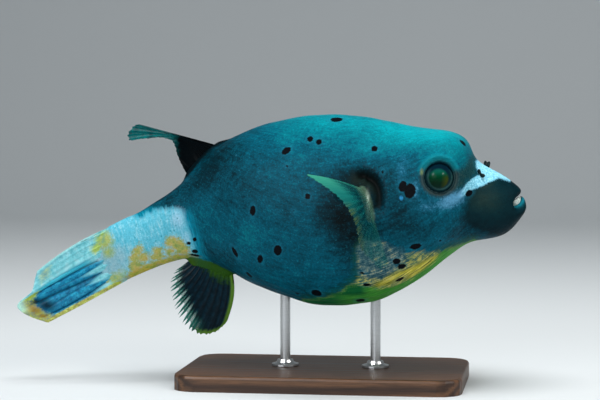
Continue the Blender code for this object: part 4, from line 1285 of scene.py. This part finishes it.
def groove_sum(s, r, deep):
    """The grooves' depth in mm where deep, or else the painted shade in them, darker where deeper."""
    total = np.zeros(s.shape)
    for place, width, start, end, depth in GROOVES:
        drift = place + 0.02 * np.sin(r * 5.0 + place * 20)
        length = smooth(start - 0.06, start + 0.15, r) * smooth(end + 0.12, end - 0.1, r)
        total = total + hill(s - drift, width) * length * (depth if deep else min(depth / FULL_SHADE_DEPTH, 1.0))
    return total


def caudal_fields(s, r):
    hem = np.maximum.reduce([
        smooth(0.90, 0.955, s) * smooth(0.02, 0.12, r),
        0.85 * smooth(0.80, 0.93, r) * smooth(0.36, 0.5, s),
        0.62 * hill(r - 0.86, 0.11) * smooth(0.36, 0.16, s) * smooth(0.02, 0.10, s)])
    ridges = hill(s - 0.70, 0.035) + hill(s - 0.82, 0.04)
    numbers = {
        # painted shade in the pleats, darker where they are deeper
        "groove": groove_sum(s, r, False),
        "blue": (smooth(0.36, 0.50, s) * smooth(1.00, 0.92, s)
                 * smooth(0.05, 0.42, r + 0.1 * np.sin(s * 40)) * smooth(0.99, 0.85, r)),
        "bright": hill(s - 0.385, 0.075) * smooth(0.15, 0.4, r) * smooth(0.95, 0.8, r),
        "lilac_ridge": ridges * smooth(0.2, 0.4, r) * smooth(0.95, 0.75, r),
        "hem": hem,
        "tip": np.maximum(smooth(0.90, 1.0, r) * smooth(0.30, 0.42, s) * smooth(0.72, 0.6, s),
                          smooth(0.04, 0.015, s) * smooth(0.1, 0.25, r))}
    for label, ovals in BLOTCHES.items():
        numbers[label] = np.maximum.reduce([
            hill(np.hypot((s - s0) / wide, (r - r0) / long), 1.0) for s0, r0, wide, long in ovals])
    return numbers


def caudal_bow(share):
    lift = 2.0 * smooth(0.5, 0.0, share) - 0.3 * smooth(0.6, 1.0, share)
    return np.stack([share * 0, share * 0, lift], axis=1)


caudal_fin = fin_sheet(
    "caudal_blade", in_plane(CAUDAL_ROOT), in_plane(CAUDAL_MARGIN), rays=11, bow=caudal_bow, ray_thick=1.15,
    film_thick=0.7, foot=3.6, fold=lambda s, r: groove_sum(s, r, True) + 0.5 * np.sin(s * 16.0) * r,
    samples=16, rows=80, values=caudal_fields)
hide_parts("caudal_fin")
print("tail fin faces:", len(caudal_fin.data.polygons))

# %% [markdown]
# The pectoral fins scull. The right one reaches out and back from its short fleshy base and fans
# down over the breast.

# %% Pectoral fins
PECTORAL_MARGIN = [
    (-2.3, 58.0, 68.7), (6.6, 63.0, 64.2), (14.9, 67.0, 57.4), (21.0, 71.0, 50.2), (24.4, 72.0, 43.9),
    (25.2, 71.0, 39.1), (26.0, 67.0, 33.0), (29.4, 61.0, 27.2), (34.0, 53.0, 22.6), (37.6, 46.5, 24.5)]


def pectoral_fields(s, r):
    streak = np.maximum(smooth(0.40, 0.78, r) * smooth(0.48, 0.24, s), 0.45 * smooth(0.07, 0.03, s))
    return {"leading": streak, "base": smooth(0.30, 0.10, r), "low": smooth(0.60, 0.90, s),
            "olive": smooth(0.70, 0.98, r) * smooth(0.30, 0.42, s) * smooth(0.78, 0.62, s)}


def make_pectoral(label, side):
    def bow(share):
        return np.stack([1.5 - 1.0 * share, side * (1.0 + 0.8 * share), 1.0 - 1.5 * share], axis=1)

    fin = fin_sheet(
        f"pectoral_blade_{label}", spline_by_length(mirrored(PECTORAL_ROOT, side)),
        spline_by_length(mirrored(PECTORAL_MARGIN, side)), rays=16, bow=bow, ray_thick=0.75, film_thick=0.28,
        foot=2.4, fray=lambda s: 0.03 + 0.03 * s, fold=lambda s, r: 0.5 * np.sin(s * 14.0) * r ** 1.5,
        samples=8, values=pectoral_fields)
    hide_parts(f"pectoral_fin_{label}")
    return fin


pectoral_fins = [make_pectoral(label, side) for label, side in (("left", 1), ("right", -1))]
print("pectoral fin faces:", len(pectoral_fins[0].data.polygons))


# %% [markdown]
# ## Fin membranes
#
# Fin film is a wet, half-clear membrane with a soft gloss, so its alpha falls between the rays where
# the film is thin. The dark fins stay opaque but for the film near their tips. The film's mottling is
# 2 to 3 mm across, and its flecks are under a millimetre.

# %% Dorsal and anal membranes
def fin_paint(name, ground, ray_shade, level=0.2):
    paint = Paint(name, IOR=1.4, Roughness=0.4, Specular_IOR_Level=level)
    paint.cloud = paint.mottle(0.45)
    paint.fleck = paint.mottle(1.2)
    paint.top = paint.add("ValToRGB", {"Fac": paint.cloud}, stops=[(0.3, ground[0]), (0.7, ground[1])])
    paint.layer(ray_shade, "ray", 0.75)
    return paint


FIN_RELIEF = (0.25, 0.15)    # the strength of the fins' bump, and its depth in mm
dorsal_paint = fin_paint("dorsal_membrane", ("#00484c", "#007f7e"), "#003a3e", 0.04)
place = dorsal_paint.add("Attribute", {}, "Vector", attribute_name="fish_mm")
forward = dorsal_paint.add("SeparateXYZ", {0: place}, "X")
black = dorsal_paint.patch(forward, -75.0, -80.0, (dorsal_paint.cloud, 6.0))
dorsal_paint.layer("#00060a", black)
gap = dorsal_paint.within("ray", 0.0, 0.8)
film = dorsal_paint.rest(dorsal_paint.rest(black), gap, 0.4)
dorsal_fin.data.materials.append(dorsal_paint.done((dorsal_paint.fleck, *FIN_RELIEF), Alpha=film))

anal_paint = fin_paint("anal_membrane", ("#00141d", "#032b3a"), "#000f16", 0.08)
anal_paint.cover("#2f5a10", 0.95, "rise", 0.18, 0.32, (anal_paint.cloud, 0.25))
anal_paint.layer("#5f8a2a", "leading", 0.9)
anal_paint.layer("#2a8a78", "tips", 0.7)
film = anal_paint.rest("tips", anal_paint.within("ray", 0.0, 0.8), 0.6)
anal_fin.data.materials.append(anal_paint.done((anal_paint.fleck, *FIN_RELIEF), Alpha=film))
print("dark fins painted")

# %% [markdown]
# The tail's film is thick and opaque: pale blue under a deep blue wash, with painted shade in its
# grooves, a yellow-green hem, and blotches of leaf green, rust and navy. One loop lays them in order.

# %% Tail membrane
tail_paint = Paint("caudal_membrane", IOR=1.4, Roughness=0.42, Specular_IOR_Level=0.08)
mottling = tail_paint.mottle(0.35)
flecks = tail_paint.mottle(1.2)
tail_paint.top = tail_paint.add("ValToRGB", {"Fac": mottling}, stops=[
    (0.3, "#5fb4c0"), (0.5, "#7fcfd8"), (0.7, "#a6dde4")])
tail_paint.layer("#4a9fae", "ray", 0.3)
blue_tint = tail_paint.add("ValToRGB", {"Fac": tail_paint.shifted(mottling, (flecks, 0.6))}, stops=[
    (0.3, "#00567c"), (0.5, "#007ba6"), (0.7, "#14a0c4")])
hem_tint = tail_paint.add("ValToRGB", {"Fac": tail_paint.shifted(mottling, (flecks, 0.3))}, stops=[
    (0.36, "#94802a"), (0.5, "#aca62c"), (0.62, "#bfc64c")])
for tint, strength, label, full, none, *roughen in (
        (blue_tint, 0.95, "blue", 0.75, 0.25, (mottling, 0.5), (flecks, 0.3)),
        ("#5c98c2", 0.12, "lilac_ridge", 1.1, 0.3, (mottling, 0.6)),
        ("#2bb4d0", 0.85, "bright", 0.85, 0.2, (mottling, 0.5)),
        # painted shade in the tail fin's pleats
        ("#02344e", 0.85, "groove", 1.15, 0.2, (flecks, 0.5), (mottling, 0.5)),
        ("#06141f", 0.92, "navy", 1.0, 0.25, (flecks, 0.6), (mottling, 0.7)),
        (hem_tint, 0.88, "hem", 0.9, 0.25, (flecks, 0.6), (mottling, 0.5)),
        ("#aabf2e", 0.85, "leafy", 0.75, 0.25, (flecks, 0.8), (mottling, 0.6)),
        ("#94701f", 0.75, "rust", 0.9, 0.25, (flecks, 0.8), (mottling, 0.6))):
    tail_paint.cover(tint, strength, label, full, none, *roughen)
tail_paint.layer("#a9e8e8", "tip", 0.8)
tail_paint.grain(flecks, 0.88, 1.12)
caudal_fin.data.materials.append(tail_paint.done((flecks, *FIN_RELIEF)))
print("tail fin painted")

# %% [markdown]
# The pectoral fins are the clearest. Their rays, the streak along their outer margin and their
# fleshy base hide the most of what is behind them.

# %% Pectoral membrane
CLEARNESS = (  # field, and how clear the film is without it and with it
    ("leading", 0.80, 0.08), ("base", 1.0, 0.55), ("olive", 1.0, 0.6), ("ray", 1.0, 0.72))
LOW_CLEARNESS = 0.68
wing = fin_paint("pectoral_membrane", ("#003a42", "#02585a"), "#0a6a66")
wing.layer("#0c6c64", "leading", 0.85)
wing.layer("#3a9c80", "leading", wing.within("span", 0.0, 0.25), 0.75)
wing.cover("#5c8a70", 0.7, "base", 0.8, 0.2, (wing.cloud, 0.5))
wing.layer("#566420", "olive", "ray", 0.85)
wing.layer("#0f5f58", "low", 0.6)
clear = wing.product(*[wing.within(label, 1.0, 0.0, bound, free) for label, free, bound in CLEARNESS])
faint = wing.within("low", 1.0, 0.0, LOW_CLEARNESS)
clear = wing.add("Math", {0: clear, 1: faint}, operation="MAXIMUM")
wing_material = wing.done(Alpha=wing.rest(clear))
for fin in pectoral_fins:
    fin.data.materials.append(wing_material)
print("pectoral fins painted")


# %% [markdown]
# ## The stand
#
# The stand keeps its solids and only gets real finishes. The base is walnut rubbed with oil, which
# leaves the wood matt with a faint coat of sheen. Growth rings 5 mm apart are bent by a slow noise
# and drawn out along the grain. The pores are about twice as coarse as real ones, so that they show.

# %% Walnut
def refinish(node, material):
    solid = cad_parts[node]
    solid.data.materials.clear()
    solid.data.materials.append(material)


walnut = Paint("oiled_walnut", IOR=1.5, Specular_IOR_Level=0.3, Coat_Weight=0.1, Coat_Roughness=0.3)
at_solid = walnut.add("TexCoord", {}, "Object")
in_mm = walnut.add("VectorMath", {0: at_solid, "Scale": 1 / MM}, operation="SCALE")
log = walnut.add("VectorMath", {0: in_mm, 1: (0.06, 1.0, 1.0)}, operation="MULTIPLY")
warp = walnut.add("TexNoise", {"Vector": log, "Scale": 0.05, "Detail": 3.0}, "Color")
bent = walnut.add("VectorMath", {0: warp, 1: (26.0, 26.0, 26.0), 2: log}, operation="MULTIPLY_ADD")
growth = walnut.add("TexWave", {"Vector": bent, "Scale": 0.06, "Distortion": 2.0, "Detail": 2.0}, "Fac",
                    bands_direction="Y")
pores = walnut.mottle(1.6, log, detail=2.0)
walnut.top = walnut.add("ValToRGB", {"Fac": growth}, stops=[(0.0, "#3a2417"), (1.0, "#6d4a30")])
walnut.grain(pores, 0.6, 1.1)
refinish("stand_base", walnut.done((pores, 0.25, 0.2), Roughness=walnut.within(growth, 1.0, 0.0, 0.55, 0.42)))
print("base finished")

# %% [markdown]
# The rods and collars are stainless steel, brushed as they turn on a lathe. The fine lines run round
# them and spread each highlight along the rod. They are drawn 0.1 mm apart, a little coarser than the
# grit leaves them, so that they show.

# %% Brushed steel
steel = Paint("brushed_stainless_steel", Metallic=1.0)
lines = steel.mottle(1.0, steel.add("TexCoord", {}, "Object"), (0.3 / MM, 0.3 / MM, 9 / MM))
steel.top = steel.add("ValToRGB", {"Fac": lines}, stops=[(0.0, "#9a9c9e"), (1.0, "#c9cbcc")])
steel_material = steel.done((lines, 0.1, 0.1), Roughness=steel.within(lines, 1.0, 0.0, 0.4, 0.22))
for node in ("stand_rod_front", "stand_rod_rear", "stand_collar_front", "stand_collar_rear"):
    refinish(node, steel_material)
print("rods and collars finished")

# %% [markdown]
# ## Studio
#
# A pale paper floor that curves up into a wall has no horizon line, and its matt surface throws no
# highlight of its own.

# %% Floor and backdrop
FLOOR_FRONT, FLOOR_BACK, FLOOR_SIDE = -2.2, 1.3, 3.0
COVE = 0.7           # radius of the curve from floor to wall
COVE_STEPS = 24
WALL_TOP = 2.6


def make_backdrop():
    profile = [(FLOOR_FRONT, 0.0), (FLOOR_BACK, 0.0)]
    for k in range(1, COVE_STEPS + 1):
        turn = math.pi / 2 * k / COVE_STEPS
        profile.append((FLOOR_BACK + COVE * math.sin(turn), COVE * (1 - math.cos(turn))))
    profile.append((FLOOR_BACK + COVE, WALL_TOP))
    points = [(side * FLOOR_SIDE, y, z) for y, z in profile for side in (-1, 1)]
    faces = [(2 * k, 2 * k + 1, 2 * k + 3, 2 * k + 2) for k in range(len(profile) - 1)]
    backdrop = make_piece("backdrop", points, faces)
    paper = Paint("pale_paper", Roughness=0.9)
    paper.shader.inputs["Base Color"].default_value = colour("#d4d9db")
    backdrop.data.materials.append(paper.material)


make_backdrop()
print("backdrop made")


# %% [markdown]
# A large soft light overhead does what daylight does under water, weaker ones fill from the front
# and the snout's side, and the world adds a little more. The overhead light is kept out of
# reflections, as a polarising filter would do, so it doesn't glare in the eye; two small lamps that
# show only in reflections make the catch lights.

# %% Lights
MIDDLE = (0.0, 0.0, 0.09)
NEAR_EYE = (0.06, 0.0, 0.1)
LAMPS = (  # name, place, aim, size and its second size, watts, colour
    ("overhead", (0.05, -0.10, 1.1), MIDDLE, (0.9, 0.7), 13.5, "#ffffff"),
    ("front_fill", (-0.5, -1.3, 0.5), MIDDLE, (0.9, 0.7), 5.0, "#f2f7ff"),
    ("snout_side", (0.90, -0.65, 0.78), MIDDLE, (0.42, 0.42), 3.0, "#fff8ee"),
    ("catch_light", (-0.51, -0.92, 0.67), NEAR_EYE, (0.05, 0.05), 14.0, "#ffffff"),
    ("catch_glow", (0.79, -0.57, 0.68), NEAR_EYE, (0.26, 0.13), 5.0, "#ffffff"))
WORLD_STRENGTH = 0.28


def area_light(name, place, aim, size, power, shade):
    data = bpy.data.lights.new(name, "AREA")
    data.shape = "ELLIPSE"
    data.size, data.size_y = size
    data.energy = power
    data.color = colour(shade)[:3]
    lamp = bpy.data.objects.new(name, data)
    lamp.location = place
    lamp.rotation_euler = (Vector(aim) - Vector(place)).to_track_quat("-Z", "Y").to_euler()
    lamp.visible_glossy = name != "overhead"
    lamp.visible_diffuse = not name.startswith("catch")
    bpy.context.scene.collection.objects.link(lamp)


for lamp in LAMPS:
    area_light(*lamp)
world = bpy.data.worlds.new("studio")
world.use_nodes = True
sky = world.node_tree.nodes["Background"]
sky.inputs["Color"].default_value = colour("#e8eef2")
sky.inputs["Strength"].default_value = WORLD_STRENGTH
bpy.context.scene.world = world
bpy.context.scene.view_settings.view_transform = "Standard"
print("lights:", len(LAMPS))

# %% [markdown]
# ## Camera
#
# The camera stands about a metre off the fish's right side, a little ahead of it and a little above
# its middle, with a long lens, as a diver's close portrait of a shy fish.

# %% Camera
CAMERA_AZIMUTH = math.radians(8)
CAMERA_ELEVATION = math.radians(3)
CAMERA_DISTANCE = 1.0
CAMERA_AIM = Vector((-0.0129, 0.0, BELLY_HEIGHT * MM + 0.0531))
LENS = 117.4

camera_data = bpy.data.cameras.new("camera")
camera_data.lens = LENS
camera_data.sensor_width = 36.0
camera = bpy.data.objects.new("camera", camera_data)
back = Vector((math.sin(CAMERA_AZIMUTH) * math.cos(CAMERA_ELEVATION),
               -math.cos(CAMERA_AZIMUTH) * math.cos(CAMERA_ELEVATION), math.sin(CAMERA_ELEVATION)))
camera.location = CAMERA_AIM + back * CAMERA_DISTANCE
camera.rotation_euler = back.to_track_quat("Z", "Y").to_euler()
bpy.context.scene.collection.objects.link(camera)
bpy.context.scene.camera = camera
print("camera at", [round(v, 3) for v in camera.location])
